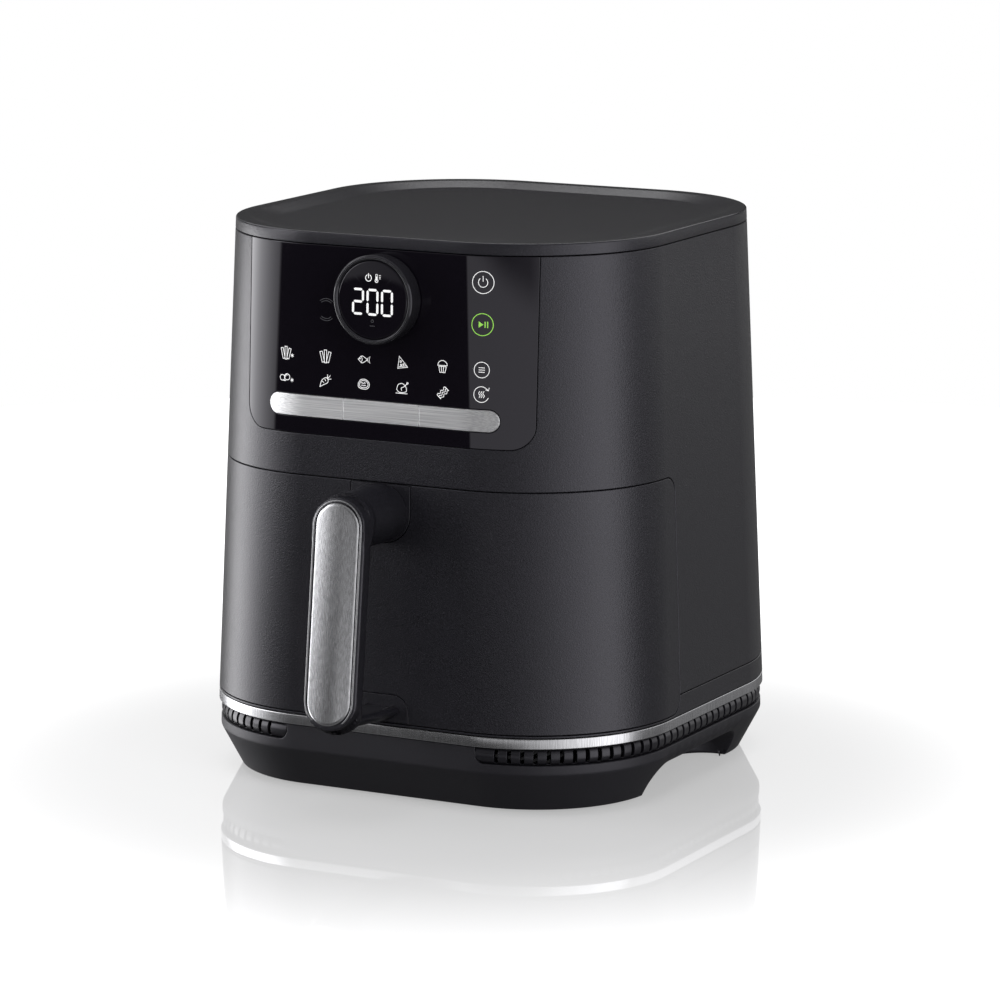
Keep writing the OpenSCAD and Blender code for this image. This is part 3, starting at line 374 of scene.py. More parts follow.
def shifted(loop, distance):
    """A closed loop moved to its left by a distance, with mitred corners."""
    p = np.array(loop, float)
    before, after = p - np.roll(p, 1, 0), np.roll(p, -1, 0) - p
    before /= np.maximum(np.linalg.norm(before, axis=1, keepdims=True), 1e-9)
    after /= np.maximum(np.linalg.norm(after, axis=1, keepdims=True), 1e-9)
    side = np.stack([-(before + after)[:, 1], (before + after)[:, 0]], 1)
    side /= np.maximum(np.linalg.norm(side, axis=1, keepdims=True), 1e-9)
    ahead = np.stack([-after[:, 1], after[:, 0]], 1)
    stretch = np.maximum((side * ahead).sum(1), 0.5)
    return p + side * (distance / stretch)[:, None]


def signed_area(loop):
    p = np.array(loop, float)
    q = np.roll(p, -1, 0)
    return float((p[:, 0] * q[:, 1] - q[:, 0] * p[:, 1]).sum() / 2)


def inside(points, loop):
    """Which points lie inside a closed loop."""
    points = np.asarray(points, float)
    out = np.zeros(len(points), bool)
    for (ax, ay), (bx, by) in zip(loop, list(loop[1:]) + [loop[0]]):
        crosses = (ay > points[:, 1]) != (by > points[:, 1])
        if ay != by:
            out ^= crosses & (points[:, 0] < (bx - ax) * (points[:, 1] - ay) / (by - ay) + ax)
    return out


def near(points, loop, reach):
    """Which points lie within reach of a loop."""
    points, loop = np.asarray(points, float), np.asarray(loop, float)
    out = np.zeros(len(points), bool)
    for p in range(0, len(points), 4000):
        d = points[p : p + 4000, None, :] - loop[None]
        out[p : p + 4000] = (np.einsum("ijk,ijk->ij", d, d) < reach * reach).any(1)
    return out


def flat_mesh(loops, grid=(), edge=0.0, steps=4, keep_off=1.1):
    """Triangles filling an outline less its holes.

    Returns points, how far each has sunk for a rounded edge, the triangles, and the rim's edges. A rim
    point's sinking follows a quarter circle of the edge's radius.
    """
    loops = [list(map(tuple, lp)) for lp in loops]
    turned = [lp if (signed_area(lp) > 0) == (k == 0) else lp[::-1] for k, lp in enumerate(loops)]
    points, sunk, edges = [], [], []
    last = []
    levels = [k / steps for k in range(steps + 1)] if edge > 0 else [0]
    for loop in turned:
        for t in levels:
            angle = t * math.pi / 2
            row = shifted(loop, edge * (1 - math.cos(angle))) if t else np.array(loop)
            start = len(points)
            points += row.tolist()
            sunk += [edge * (1 - math.sin(angle)) if edge else 0.0] * len(row)
            edges += [(start + i, start + (i + 1) % len(row)) for i in range(len(row))]
        last.append(row)
    grid = np.asarray(grid, float).reshape(-1, 2)
    if len(grid):
        ok = inside(grid, last[0].tolist())
        for hole in last[1:]:
            ok &= ~inside(grid, hole.tolist())
        grid = grid[ok]
        for row in last:
            if len(grid):
                grid = grid[~near(grid, row, keep_off)]
        points += grid.tolist()
        sunk += [0.0] * len(grid)
    got = delaunay_2d_cdt([Vector(p) for p in points], edges, [], 0, 1e-7)
    where = np.array([tuple(v) for v in got[0]])
    depth = np.array([sunk[min(o)] if o else 0.0 for o in got[3]])
    faces = np.array([f for f in got[2] if len(f) == 3])
    middle = where[faces].mean(1)
    keep = inside(middle, turned[0])
    for hole in turned[1:]:
        keep &= ~inside(middle, hole)
    faces = faces[keep]
    first, second, third = (where[faces[:, k]] for k in range(3))
    u, v = second - first, third - first
    cross = u[:, 0] * v[:, 1] - u[:, 1] * v[:, 0]
    faces = np.where((cross < 0)[:, None], faces[:, ::-1], faces)[np.abs(cross) > 1e-9]
    used = dict.fromkeys((a, b) for f in faces.tolist() for a, b in zip(f, f[1:] + f[:1]))
    rims = [(a, b) for (a, b) in used if (b, a) not in used]
    return where, depth, faces, rims


def moulded(
    name, loops, place, thickness, material, edge=0.5, grid=(), normal=None, steps=4, seam=None, keep_off=1.1
):
    """A closed moulding with rounded edges.

    place(a, b, depth) gives the points of the outline's plane at a depth under the face, and
    normal(a, b) the face's own direction where it isn't rounded. seam(a, b) gives the depth next to the
    ends of an outline that closes on itself, and less than zero elsewhere.
    """
    where, depth, faces, rims = flat_mesh(loops, grid, edge, steps, keep_off)
    a, b = where[:, 0], where[:, 1]
    n = len(where)
    if seam is not None:
        told = seam(a, b)
        depth = np.where(told >= 0, told, depth)
    points = np.concatenate([place(a, b, depth), place(a, b, np.full(n, float(thickness)))])
    made = faces.tolist() + (faces[:, ::-1] + n).tolist() + [[q, p, p + n, q + n] for p, q in rims]
    if seam is not None:
        keys = {}
        first = [keys.setdefault(key, i) for i, key in enumerate(map(tuple, np.round(points, 3) + 0.0))]
        made = [[first[i] for i in f] for f in made]
        pairs = {}
        for f in made:
            pairs[tuple(sorted(f))] = pairs.get(tuple(sorted(f)), 0) + 1
        made = [f for f in made if len(set(f)) == len(f) and pairs[tuple(sorted(f))] == 1]
    used = np.unique(np.concatenate([np.array(f) for f in made]))
    new = np.full(2 * n, -1)
    new[used] = np.arange(len(used))
    obj = new_object(name, points[used], [new[f] for f in made], material)
    if normal is not None:
        given = np.zeros((2 * n, 3))
        flat = np.flatnonzero(depth < 1e-6)
        given[flat] = normal(a[flat], b[flat])
        sharpen(obj, given[used])
    return obj


def sharpen(obj, given, walls=True):
    """Sets the given normals on an object's corners; a wall's corners may keep their own."""
    mesh = obj.data
    corners = np.zeros(len(mesh.loops), int)
    mesh.loops.foreach_get("vertex_index", corners)
    normals = given[corners]
    if walls:
        totals = np.zeros(len(mesh.polygons), int)
        mesh.polygons.foreach_get("loop_total", totals)
        normals[np.repeat(totals == 4, totals)] = 0
    mesh.normals_split_custom_set(normals.tolist())


def loft(name, rings, material, sharp=35, caps=(True, True), centred=True, loop=False):
    """A solid through rings that all have as many points, joined in order."""
    rings = [np.asarray(r, float) for r in rings]
    n, m = len(rings), len(rings[0])
    faces = []
    for k in range(n if loop else n - 1):
        a, b = k * m, ((k + 1) % n) * m
        faces += [[a + i, a + (i + 1) % m, b + (i + 1) % m, b + i] for i in range(m)]
    if caps[0] and not loop:
        faces.append(list(range(m))[::-1])
    if caps[1] and not loop:
        faces.append([(n - 1) * m + i for i in range(m)])
    return new_object(name, np.concatenate(rings), faces, material, sharp, centred)


def around(skin, profile, step=2.1, flat=9.0):
    """Rings right round the body, one for each (height, inset) of the profile."""
    rings = []
    for z, inset in profile:
        half = skin.columns(z, step, flat)
        s = np.concatenate([half, -half[1:-1][::-1]])
        rings.append(skin.point(s, z, inset))
    return rings


def bend(points, radius, steps=4):
    """A profile with each inner corner rounded by up to a radius."""
    points = [np.array(p, float) for p in points]
    out = [points[0]]
    for a, b, c in zip(points, points[1:], points[2:]):
        u, v = (a - b), (c - b)
        lu, lv = np.linalg.norm(u), np.linalg.norm(v)
        r = min(radius, lu * 0.45, lv * 0.45)
        p, q = b + u / lu * r, b + v / lv * r
        for k in range(steps + 1):
            t = k / steps
            out.append((1 - t) ** 2 * p + 2 * t * (1 - t) * b + t * t * q)
    return [tuple(p) for p in out + [points[-1]]]


def turns_of(profile, segments):
    """Rings of a profile of (radius, height) turned about Z."""
    turns = np.linspace(0, 2 * math.pi, segments, endpoint=False)
    return [np.array([(r * math.cos(a), r * math.sin(a), h) for a in turns]) for r, h in profile]


def lathe(name, profile, material, segments=96, frame_of=None, sharp=35):
    """A solid of revolution about Z from a profile of (radius, height), closed at the axis."""
    rings = turns_of([(max(r, 1e-4), h) for r, h in profile], segments)
    obj = loft(name, rings, material, sharp, centred=False)
    return obj if frame_of is None else to_frame(obj, frame_of)


def turned(name, profile, material, segments=144):
    """A ring turned about Z from a closed profile of (radius, height)."""
    return outward(loft(name, turns_of(profile, segments), material, 40, centred=False, loop=True), 40)


def to_frame(obj, frame_of):
    """Moves a mesh's points by a matrix in millimetres round the body's axis."""
    grow, shrink = (Matrix.Diagonal((k, k, k, 1)) for k in (MM, 1 / MM))
    obj.data.transform(Matrix.Translation((0, CENTRE_Y, 0)) @ grow @ frame_of @ shrink)
    return obj


def front_frame(x, z, back=False):
    """A frame on the leaning front, or on the back seen from behind: +X right, +Y up and +Z outwards."""
    skin = Skin()
    tilt = Matrix.Rotation(math.pi / 2 - math.atan2(skin.fd, skin.h), 4, "X")
    turn = Matrix.Rotation(math.pi if back else 0, 4, "Z")
    away = float(skin.half_depth(z))
    return Matrix.Translation((x, away if back else -away, z)) @ turn @ tilt


def joined(name, objects):
    """One object out of several, with their materials."""
    bm = bmesh.new()
    mesh = bpy.data.meshes.new(name)
    for obj in objects:
        for material in obj.data.materials:
            if material.name not in [m.name for m in mesh.materials]:
                mesh.materials.append(material)
    slots = {m.name: i for i, m in enumerate(mesh.materials)}
    for obj in objects:
        start = len(bm.faces)
        bm.from_mesh(obj.data)
        bm.faces.ensure_lookup_table()
        names = [m.name for m in obj.data.materials]
        for face in bm.faces[start:]:
            face.material_index = slots[names[face.material_index]] if names else 0
        bpy.data.objects.remove(obj)
    bm.to_mesh(mesh)
    bm.free()
    return linked(name, mesh)


# ---- node trees and repeats


def feed(node, inputs):
    """Gives a node's inputs their values, or links them to another node or to one of its outputs."""
    for name, value in inputs.items():
        if isinstance(value, bpy.types.Node):
            value = value.outputs[0]
        if isinstance(value, bpy.types.NodeSocket):
            node.id_data.links.new(value, node.inputs[name])
        else:
            node.inputs[name].default_value = value
    return node


def added(tree, kind, inputs, **settings):
    """A new node with its settings and inputs."""
    node = tree.nodes.new(kind)
    for name, value in settings.items():
        setattr(node, name, value)
    return feed(node, inputs)


def maths(tree, work, *values):
    return added(tree, "ShaderNodeMath", dict(enumerate(values)), operation=work)


def spread(tree, value, start, stop, low=0.0, high=1.0, how="LINEAR"):
    """A value's span from start to stop, spread from low to high."""
    inputs = {"Value": value, "From Min": start, "From Max": stop, "To Min": low, "To Max": high}
    return added(tree, "ShaderNodeMapRange", inputs, interpolation_type=how)


def repeat_tree(name):
    """Places a piece a number of times in even steps, each moved and turned about its own Z."""
    tree = bpy.data.node_groups.new(name, "GeometryNodeTree")
    kinds = {"Geometry": "Geometry", "Count": "Int", "First Place": "Vector", "Step": "Vector"}
    kinds.update({"First Turn": "Float", "Turn": "Float", "Finish": "Material"})
    for socket, kind in kinds.items():
        tree.interface.new_socket(socket, in_out="INPUT", socket_type="NodeSocket" + kind)
    tree.interface.new_socket("Geometry", in_out="OUTPUT", socket_type="NodeSocketGeometry")
    given = tree.nodes.new("NodeGroupInput").outputs
    index = tree.nodes.new("GeometryNodeInputIndex")
    away = added(tree, "ShaderNodeVectorMath", {0: given["Step"], "Scale": index}, operation="SCALE")
    at = added(tree, "ShaderNodeVectorMath", {0: away, 1: given["First Place"]})
    points = added(tree, "GeometryNodePoints", {"Count": given["Count"], "Position": at})
    turn = maths(tree, "MULTIPLY_ADD", index, given["Turn"], given["First Turn"])
    spin = added(tree, "ShaderNodeCombineXYZ", {"Z": turn})
    inputs = {"Points": points, "Instance": given["Geometry"], "Rotation": spin}
    real = added(
        tree, "GeometryNodeRealizeInstances", {0: added(tree, "GeometryNodeInstanceOnPoints", inputs)}
    )
    dress = added(tree, "GeometryNodeSetMaterial", {"Geometry": real, "Material": given["Finish"]})
    added(tree, "NodeGroupOutput", {0: dress})
    return tree


def repeated(piece, count, step=(0, 0, 0), turn=0.0, place=(0, 0, 0), first=0.0):
    """Runs the repeat on a piece and leaves a plain mesh. Lengths in millimetres, angles in degrees."""
    tree = bpy.data.node_groups.get("Even Repeat") or repeat_tree("Even Repeat")
    modifier = piece.modifiers.new("Repeat", "NODES")
    modifier.node_group = tree
    sockets = {i.name: i.identifier for i in tree.interface.items_tree if i.in_out == "INPUT"}
    values = {"Count": count, "Finish": piece.data.materials[0]}
    values.update({"First Place": [v * MM for v in place], "Step": [v * MM for v in step]})
    values.update({"First Turn": math.radians(first), "Turn": math.radians(turn)})
    for name, value in values.items():
        modifier[sockets[name]] = value
    return applied(piece)


def applied(obj):
    """Turns a piece with modifiers into a plain mesh."""
    graph = bpy.context.evaluated_depsgraph_get()
    mesh = bpy.data.meshes.new_from_object(obj.evaluated_get(graph))
    obj.modifiers.clear()
    old, obj.data = obj.data, mesh
    bpy.data.meshes.remove(old)
    mesh.name = obj.name
    return obj


def place_on(body, piece, slot, *nodes):
    """Hands a finished piece to the frame."""
    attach(piece, body)
    if nodes:
        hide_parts(*nodes)
    return piece


# ---- finishes


GLOSS_SCALE = 22
COOL_GLOSS = (0.93, 0.91, 1.0, 1)


def finish(
    name, base, roughness, metallic=0.0, vary=0.25, fine=900.0, bump=0.03, stretch=(1, 1, 1), fleck=0.0
):
    """A moulded, painted or brushed finish: fine colour and gloss variation with a light surface texture."""
    known = bpy.data.materials.get(name)
    if known:
        return known
    material = bpy.data.materials.new(name)
    material.use_nodes = True
    material.diffuse_color = (*base, 1)
    tree = material.node_tree
    place = tree.nodes.new("ShaderNodeTexCoord").outputs["Object"]
    turn = added(tree, "ShaderNodeMapping", {0: place, "Scale": stretch})
    small = added(tree, "ShaderNodeTexNoise", {"Vector": turn, "Scale": fine, "Detail": 3})
    large = added(tree, "ShaderNodeTexNoise", {"Vector": place, "Scale": GLOSS_SCALE, "Detail": 2})
    ramp = added(tree, "ShaderNodeValToRGB", {0: small})
    stops = ramp.color_ramp.elements
    for stop, position, tone in zip(stops, (0.3, 0.7), (1 - vary, 1 + vary)):
        stop.position = position
        stop.color = (*(min(1, c * tone) for c in base), 1)
    if fleck:
        stops.new(0.76).color = (*(min(1, c + fleck) for c in base), 1)
    gloss = spread(tree, large, 0.35, 0.65, roughness * 0.97, roughness * 1.03)
    relief = added(tree, "ShaderNodeBump", {"Height": small, "Strength": bump, "Distance": 0.0003})
    shader = tree.nodes["Principled BSDF"]
    feed(shader, {"Base Color": ramp, "Roughness": gloss, "Normal": relief, "Metallic": metallic})
    if not metallic:
        feed(shader, {"Specular Tint": COOL_GLOSS})
    return material


def lit(name, base, strength):
    """A printed symbol with a light behind it."""
    material = finish(name, base, 0.4, vary=0.04, bump=0.0)
    light = {"Emission Color": (*base, 1), "Emission Strength": strength}
    feed(material.node_tree.nodes["Principled BSDF"], light)
    return material


def lit_symbol():
    return lit("Lit Symbol", finishes().symbol, 0.35)


def faint_symbol():
    return lit("Faint Symbol", (0.05, 0.05, 0.055), 0.1)


def paint():
    return finish("Anthracite Paint", finishes().paint, 0.3, vary=0.4, fine=1250, bump=0.5, fleck=0.04)


def cover_paint():
    """The cover's paint is polished a little finer, so that its tray shows."""
    return finish("Cover Paint", finishes().paint, 0.17, vary=0.4, fine=1250, bump=0.12, fleck=0.04)


def dark_plastic():
    return finish("Dark Plastic", finishes().dark, 0.3, vary=0.15, fine=1500, bump=0.06)


def matt_plastic():
    return finish("Matt Plastic", finishes().dark, 0.52, vary=0.2, fine=1500, bump=0.15)


def gloss_black():
    return finish("Gloss Black", finishes().gloss, 0.035, vary=0.05, fine=300, bump=0.0)


def brushed(axis, roughness=0.25, tone=1.0):
    """Brushed metal, its lines along X, Y or Z."""
    stretch = tuple(0.008 if name == axis else 1 for name in "XYZ")
    base = tuple(c * tone for c in finishes().steel)
    return finish(f"Brushed Metal {axis}", base, roughness, 1.0, 0.24, 2600, 0.01, stretch)


def plain_metal(name, base, roughness, vary=0.12):
    return finish(name, base, roughness, metallic=1.0, vary=vary, fine=700, bump=0.04)


def steel():
    return plain_metal("Steel", (0.55, 0.55, 0.56), 0.25)


def rubber():
    return finish("Rubber", (0.02, 0.02, 0.021), 0.75, vary=0.2, fine=1400, bump=0.2)


# ---- operators


class FryerOperator:
    """What every operator of the dresser shares."""

    bl_options = {"REGISTER", "UNDO"}

    def execute(self, context):
        self.build()
        return {"FINISHED"}


def drawer_loop(skin, grow):
    """Outline of the drawer front on the skin, grown by a gap."""
    b = body_sizes()
    low, high, r = b.drawer_low - grow, b.drawer_high + grow, b.drawer_corner + grow
    edge = -b.drawer_side + grow
    turn = np.linspace(0, math.pi / 2, 12)
    right = [(edge - r + r * math.cos(a), low + r - r * math.sin(a)) for a in turn[::-1]]
    right += [(edge, z) for z in np.linspace(low + r, high - r, 26)[1:-1]]
    right += [(edge - r + r * math.cos(a), high - r + r * math.sin(a)) for a in turn]
    loop = [(float(skin.s_of_y(y, z)), z) for y, z in right]
    return dense(loop + [(-s, z) for s, z in reversed(loop)], 2.2)


SEAM_AT = 52.0


def ring_row(skin, z):
    """Distances right round the skin at a height, from the seam at the back to the seam again."""
    half = skin.columns(z)
    end = float(skin.end(z))
    s = np.concatenate([-half[::-1], half[1:-1], [end - SEAM_AT]])
    s = np.where(s > end - SEAM_AT + 0.5, s - 2 * end, s)
    return np.unique(np.round(np.concatenate([s, [-end - SEAM_AT]]), 6))


def skin_grid(skin, low, high, rows):
    """Points on the skin's rulings between two levels."""
    return [(v, z) for z in np.linspace(low, high, rows + 2)[1:-1] for v in ring_row(skin, z).tolist()]


def whole_loop(skin, low, high, rows):
    """Outline of the unrolled skin between two levels: lower row, end, upper row and start."""
    z = np.linspace(low, high, rows + 2)[1:-1]
    end = np.array([float(skin.end(v)) for v in z])
    return (
        [(v, low) for v in ring_row(skin, low).tolist()],
        list(zip((end - SEAM_AT).tolist(), z.tolist())),
        [(v, high) for v in ring_row(skin, high)[::-1].tolist()],
        list(zip((-end - SEAM_AT).tolist(), z.tolist()))[::-1],
    )


def seam_depth(skin, low, high, edge):
    """Keeps the skin unbroken where the unrolled outline closes on itself."""
    def depth(s, z):
        end = skin.end(z)
        close = (np.abs(s - end + SEAM_AT) < 2) | (np.abs(s + end + SEAM_AT) < 2)
        left = np.clip(edge - np.minimum(z - low, high - z), 0, edge)
        return np.where(close, edge - np.sqrt(np.maximum(edge * edge - left * left, 0)), -1.0)
    return depth


def open_part(loop, keep):
    """The kept points of a closed loop in order, starting after the points that go."""
    start = next(i for i in range(len(loop)) if keep[i] and not keep[i - 1])
    turned = loop[start:] + loop[:start]
    flags = keep[start:] + keep[:start]
    return [p for p, k in zip(turned, flags) if k]


def let_in(row, loop, level, above):
    """A row of an outline with an opening cut into it from its own level."""
    part = open_part(loop, [(z > level + 0.2) if above else (z < level - 0.2) for _, z in loop])[::-1]
    part = [(part[0][0], level)] + part + [(part[-1][0], level)]
    low, high = sorted((part[0][0], part[-1][0]))
    before = [p for p in row if (p[0] < low - 0.5 if above else p[0] > high + 0.5)]
    after = [p for p in row if (p[0] > high + 0.5 if above else p[0] < low - 0.5)]
    return before + part + after


def panel_loop(skin, grow, top):
    """Outline of the panel on the skin; its top runs on to a level."""
    p = panel_sizes()
    half, low, r = p.width / 2 + grow, p.low - grow, p.corner + grow
    return front_points(skin, dense(rounded_box(-half, half, low, top, (r, 0, 0, r)), 2.2))


def front_points(skin, flat):
    """Points of the front, given across and up, as distances along the skin."""
    return [(math.copysign(float(skin.s_of_x(abs(x), z)), x), z) for x, z in flat]


def back_points(skin, flat):
    """Points of the back, given across and up, as distances along the skin."""
    return [(-float(skin.end(z)) - x, z) for x, z in flat]


HOUSING_ROWS = 26
# how far an opening's outline runs past the edge that it is cut into
PAST_EDGE = 6
OUTLET_BORDER = 4.0
GLAND_HOLE = 7.2
DECK_THICKNESS, DECK_GAP = 3.6, 0.6
BOSS_PLACES = [(x * 80, y * 52) for x, y in ((-1, -1), (-1, 1), (1, -1), (1, 1))]


class FRYER_OT_upper_housing(FryerOperator, Operator):
    """Makes the painted housing round the drawer and the panel"""

    bl_idname = "fryer.upper_housing"
    bl_label = "Upper Housing"

    def build(self):
        b, skin = body_sizes(), Skin()
        gap, edge = b.seam / 2, b.edge
        low, high = b.lower_level + gap, b.cap_level - gap
        lower, end, upper, start = whole_loop(skin, low, high, HOUSING_ROWS)
        lower = let_in(lower, drawer_loop(skin, 2 * gap), low, True)
        upper = let_in(upper, panel_loop(skin, gap, high + PAST_EDGE), high, False)
        loops = [lower + end + upper + start, self.outlet(skin), self.gland(skin)]
        shell = moulded(
            "upper_housing_shell", loops, skin.point, b.wall, paint(), edge,
            skin_grid(skin, low, high, HOUSING_ROWS), skin.normal, seam=seam_depth(skin, low, high, edge),
        )
        place_on("housing", shell, "anthracite", "upper_housing")

    def outlet(self, skin):
        (x0, _, z0), (x1, _, z1) = round_axis(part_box("outlet_grille"))
        inset = OUTLET_BORDER - 0.3
        half = (x1 - x0) / 2 - inset
        return back_points(skin, dense(rounded_box(-half, half, z0 + inset, z1 - inset, (1.5,) * 4, 4), 3))

    def gland(self, skin):
        x, z = middle_of(round_axis(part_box("cord_gland")))
        return back_points(skin, arc(x, z, GLAND_HOLE, 0, 352.5, 47))


class FRYER_OT_lower_housing(FryerOperator, Operator):
    """Makes the painted housing under the drawer"""

    bl_idname = "fryer.lower_housing"
    bl_label = "Lower Housing"

    def build(self):
        b, skin = body_sizes(), Skin()
        gap, edge = b.seam / 2, b.edge * 0.8
        low, high = base_sizes().band_level + gap, b.lower_level - gap
        lower, end, upper, start = whole_loop(skin, low, high, 2)
        upper = let_in(upper, drawer_loop(skin, 2 * gap), high, False)
        shell = moulded(
            "lower_housing_shell", [lower + end + upper + start], skin.point, b.wall, paint(), edge,
            skin_grid(skin, low, high, 2), skin.normal, seam=seam_depth(skin, low, high, edge),
        )
        # the deck that the drawer slides over, and the bosses that take the base's screws
        level, wall = b.drawer_low - DECK_GAP, b.wall + 0.2
        under = level - DECK_THICKNESS
        profile = [(under, wall), (under, wall), (level, wall), (level, wall + 2)]
        parts = [shell, loft("deck", around(skin, bend(profile, 0.3, 3)), matt_plastic(), sharp=40)]
        boss = bend([(0, 10), (5, 10), (5, under + 0.5), (0, under + 0.5)], 0.3, 3)
        for x, y in BOSS_PLACES:
            parts.append(lathe("boss", boss, matt_plastic(), 40, Matrix.Translation((x, y, 0))))
        place_on("housing", joined("lower_housing_shell", parts), "anthracite", "lower_housing")


class FRYER_OT_drawer_front(FryerOperator, Operator):
    """Makes the drawer's painted front"""

    bl_idname = "fryer.drawer_front"
    bl_label = "Drawer Front"

    def build(self):
        b, skin = body_sizes(), Skin()
        loop = drawer_loop(skin, 0)
        grid = []
        for z in np.linspace(b.drawer_low, b.drawer_high, 20)[1:-1]:
            s = skin.columns(z)
            s = s[s < 190]
            grid += [(v, z) for v in s.tolist()] + [(-v, z) for v in s[1:].tolist()]
        holes = [[(x, z) for x, z in pad] for pad in root_pads(0.25)]
        shell = moulded(
            "drawer_front_shell", [loop] + holes, skin.point, b.wall, paint(), b.edge, grid, skin.normal
        )
        place_on("drawer", shell, "anthracite", "drawer_front")


# half width and heights of the handle's root pads, their gap to the drawer front's edge and their corners
PAD_HALF, UPPER_PAD, LOWER_PAD, PAD_GAP = 18.5, 32.8, 15.6, 0.5
UPPER_CORNERS, LOWER_CORNERS = (16, 0.8, 0.8, 16), (0.8, 9, 9, 0.8)


def root_pads(grow):
    """Outlines of the handle's two flush root pads on the front."""
    b, half = body_sizes(), PAD_HALF + grow
    top, low = b.drawer_high, b.drawer_low
    upper = rounded_box(-half, half, top - UPPER_PAD - grow, top - PAD_GAP, UPPER_CORNERS, 14)
    lower = rounded_box(-half, half, low + PAD_GAP, low + LOWER_PAD + grow, LOWER_CORNERS, 10)
    return dense(upper, 2), dense(lower, 2)


class FRYER_OT_top_cover(FryerOperator, Operator):
    """Makes the top cover with its tray"""

    bl_idname = "fryer.top_cover"
    bl_label = "Top Cover"

    def build(self):
        b, skin = body_sizes(), Skin()
        top, cap, edge = b.height, b.cap_level + b.seam / 2, 1.0
        rim, run, floor = b.rim_width, b.tray_run, b.height - b.tray_depth
        profile = [(floor - 2, b.wall + 14), (floor - 2, b.wall), (cap, b.wall), (cap, 0.0)]
        profile += [(top, 0.0), (top, rim), (floor, rim + run), (floor, rim + run + 12)]
        smooth = profile[:3] + bend([profile[2], profile[3], profile[4]], b.edge)[1:-1]
        smooth += bend([profile[3], profile[4], profile[5]], edge, 6)[1:-1]
        smooth += bend(profile[4:8], 0.9, 5)[1:]
        cover = loft("top_cover_shell", around(skin, smooth), cover_paint(), sharp=40)
        cover.data.materials.append(paint())
        for face in cover.data.polygons:
            face.material_index = int(abs(face.normal.z) < 0.7)
        place_on("housing", cover, "anthracite", "top_cover")


class FRYER_OT_metal_band(FryerOperator, Operator):
    """Makes the bright band between housing and base"""

    bl_idname = "fryer.metal_band"
    bl_label = "Metal Band"

    def build(self):
        g, skin = base_sizes(), Skin()
        low, high = g.base_level + 0.2, g.band_level - 0.2
        profile = bend([(low, 2.2), (low, 0.1), (high, 0.1), (high, 2.2)], 0.55, 4)
        band = loft("metal_band_ring", around(skin, profile), brushed("Z"), sharp=40, loop=True)
        place_on("housing", band, "brushed_metal", "metal_band")


# heights of the base's rows of points, close together where the skirt bends
BASE_ROWS = (7, 11, 15, 19, 21.5, 22.8, 23.4, 24, 24.6, 25.2, 27, 31, 35)


class FRYER_OT_base(FryerOperator, Operator):
    """Makes the base moulding with its lifting recesses"""

    bl_idname = "fryer.base"
    bl_label = "Base Moulding"

    def build(self):
        g, skin = base_sizes(), Skin()
        low, high, edge = g.lift, g.base_level - 0.25, 0.6
        place = skirt_place(skin)
        lower, end, upper, start = whole_loop(skin, low, high, 6)
        for side in (1, -1):
            window, recess = grille_loop(skin, 0.25, high + 8, side), recess_loop(skin, side)
            upper = let_in(upper, window, high, False)
            lower = let_in(lower, recess, low, True)
        grid = [(v, z) for z in (low + 2.5, *BASE_ROWS) for v in ring_row(skin, z).tolist()]
        shell = moulded(
            "base_moulding", [lower + end + upper + start], place, 2.5, matt_plastic(), edge, grid,
            numeric_normal(place), seam=seam_depth(skin, low, high, edge),
        )
        pockets = [self.pocket(skin, side) for side in (1, -1)]
        base = joined("base_moulding", [shell] + pockets)
        place_on("housing", base, "dark_plastic", "base_skirt")

    def pocket(self, skin, side):
        """Inner wall and roof of one lifting recess."""
        g = base_sizes()
        half, middle = g.recess_length / 2, -g.recess_shift
        r, top, plan = g.recess_corner, g.recess_height, g.recess_plan
        turn = np.linspace(0.1, math.pi / 2, 14)
        rise = [(half - r * (1 - math.cos(a)), top - r + r * math.sin(a)) for a in turn]
        path = [(middle - half, g.lift), (middle - half, top - r)] + [(middle - y, z) for y, z in rise]
        path += [(y, top) for y in np.linspace(middle - half + r + 3, middle + half - r - 3, 26)]
        path += [(middle + y, z) for y, z in rise[::-1]] + [(middle + half, top - r), (middle + half, g.lift)]
        path = np.array(path)
        e = np.clip(np.minimum(path[:, 0] - middle + half, middle + half - path[:, 0]), 0, plan)
        deep = g.recess_wall + plan - np.sqrt(np.maximum(plan**2 - (plan - e) ** 2, 0))
        out = skirt_place(skin)(skin.s_of_y(path[:, 0], path[:, 1]), path[:, 1], 0.55)
        rows = [np.column_stack([out[:, 0] + (deep - out[:, 0]) * k, path]) for k in np.linspace(0, 1, 9)]
        roof = rows[-1]
        for k in np.linspace(0.12, 1, 7):
            rows.append(np.column_stack([roof[:, :2], roof[:, 2] + (g.lift - roof[:, 2]) * k]))
        n = len(path)
        faces = quads([k * n + i for k in range(len(rows) - 1) for i in range(n - 1)], n)
        points = np.concatenate(rows)
        points[:, 0] *= side
        if side > 0:
            faces = [f[::-1] for f in faces]
        obj = new_object("recess_pocket", points, faces, matt_plastic(), 40)
        wall = obj.modifiers.new("Wall", "SOLIDIFY")
        wall.thickness, wall.offset = 0.0014, -1
        return applied(obj)


def skirt_inset(z):
    """How far the base stands back from the body's skin at a height; its bend is eased."""
    g = base_sizes()
    below = g.taper_level - z
    eased = (below + np.sqrt(below**2 + 0.5)) / 2
    return g.inset + math.tan(g.taper) * eased


def skirt_place(skin):
    """Places points on the base's own skin."""
    return lambda s, z, depth: skin.point(s, z, skirt_inset(z) + depth)


def numeric_normal(place):
    """Direction of a surface from its own points."""
    def normal(a, b):
        step = 0.02
        across = place(a + step, b, 0.0) - place(a - step, b, 0.0)
        up = place(a, b + step, 0.0) - place(a, b - step, 0.0)
        n = np.cross(across, up)
        return n / np.linalg.norm(n, axis=-1, keepdims=True)
    return normal


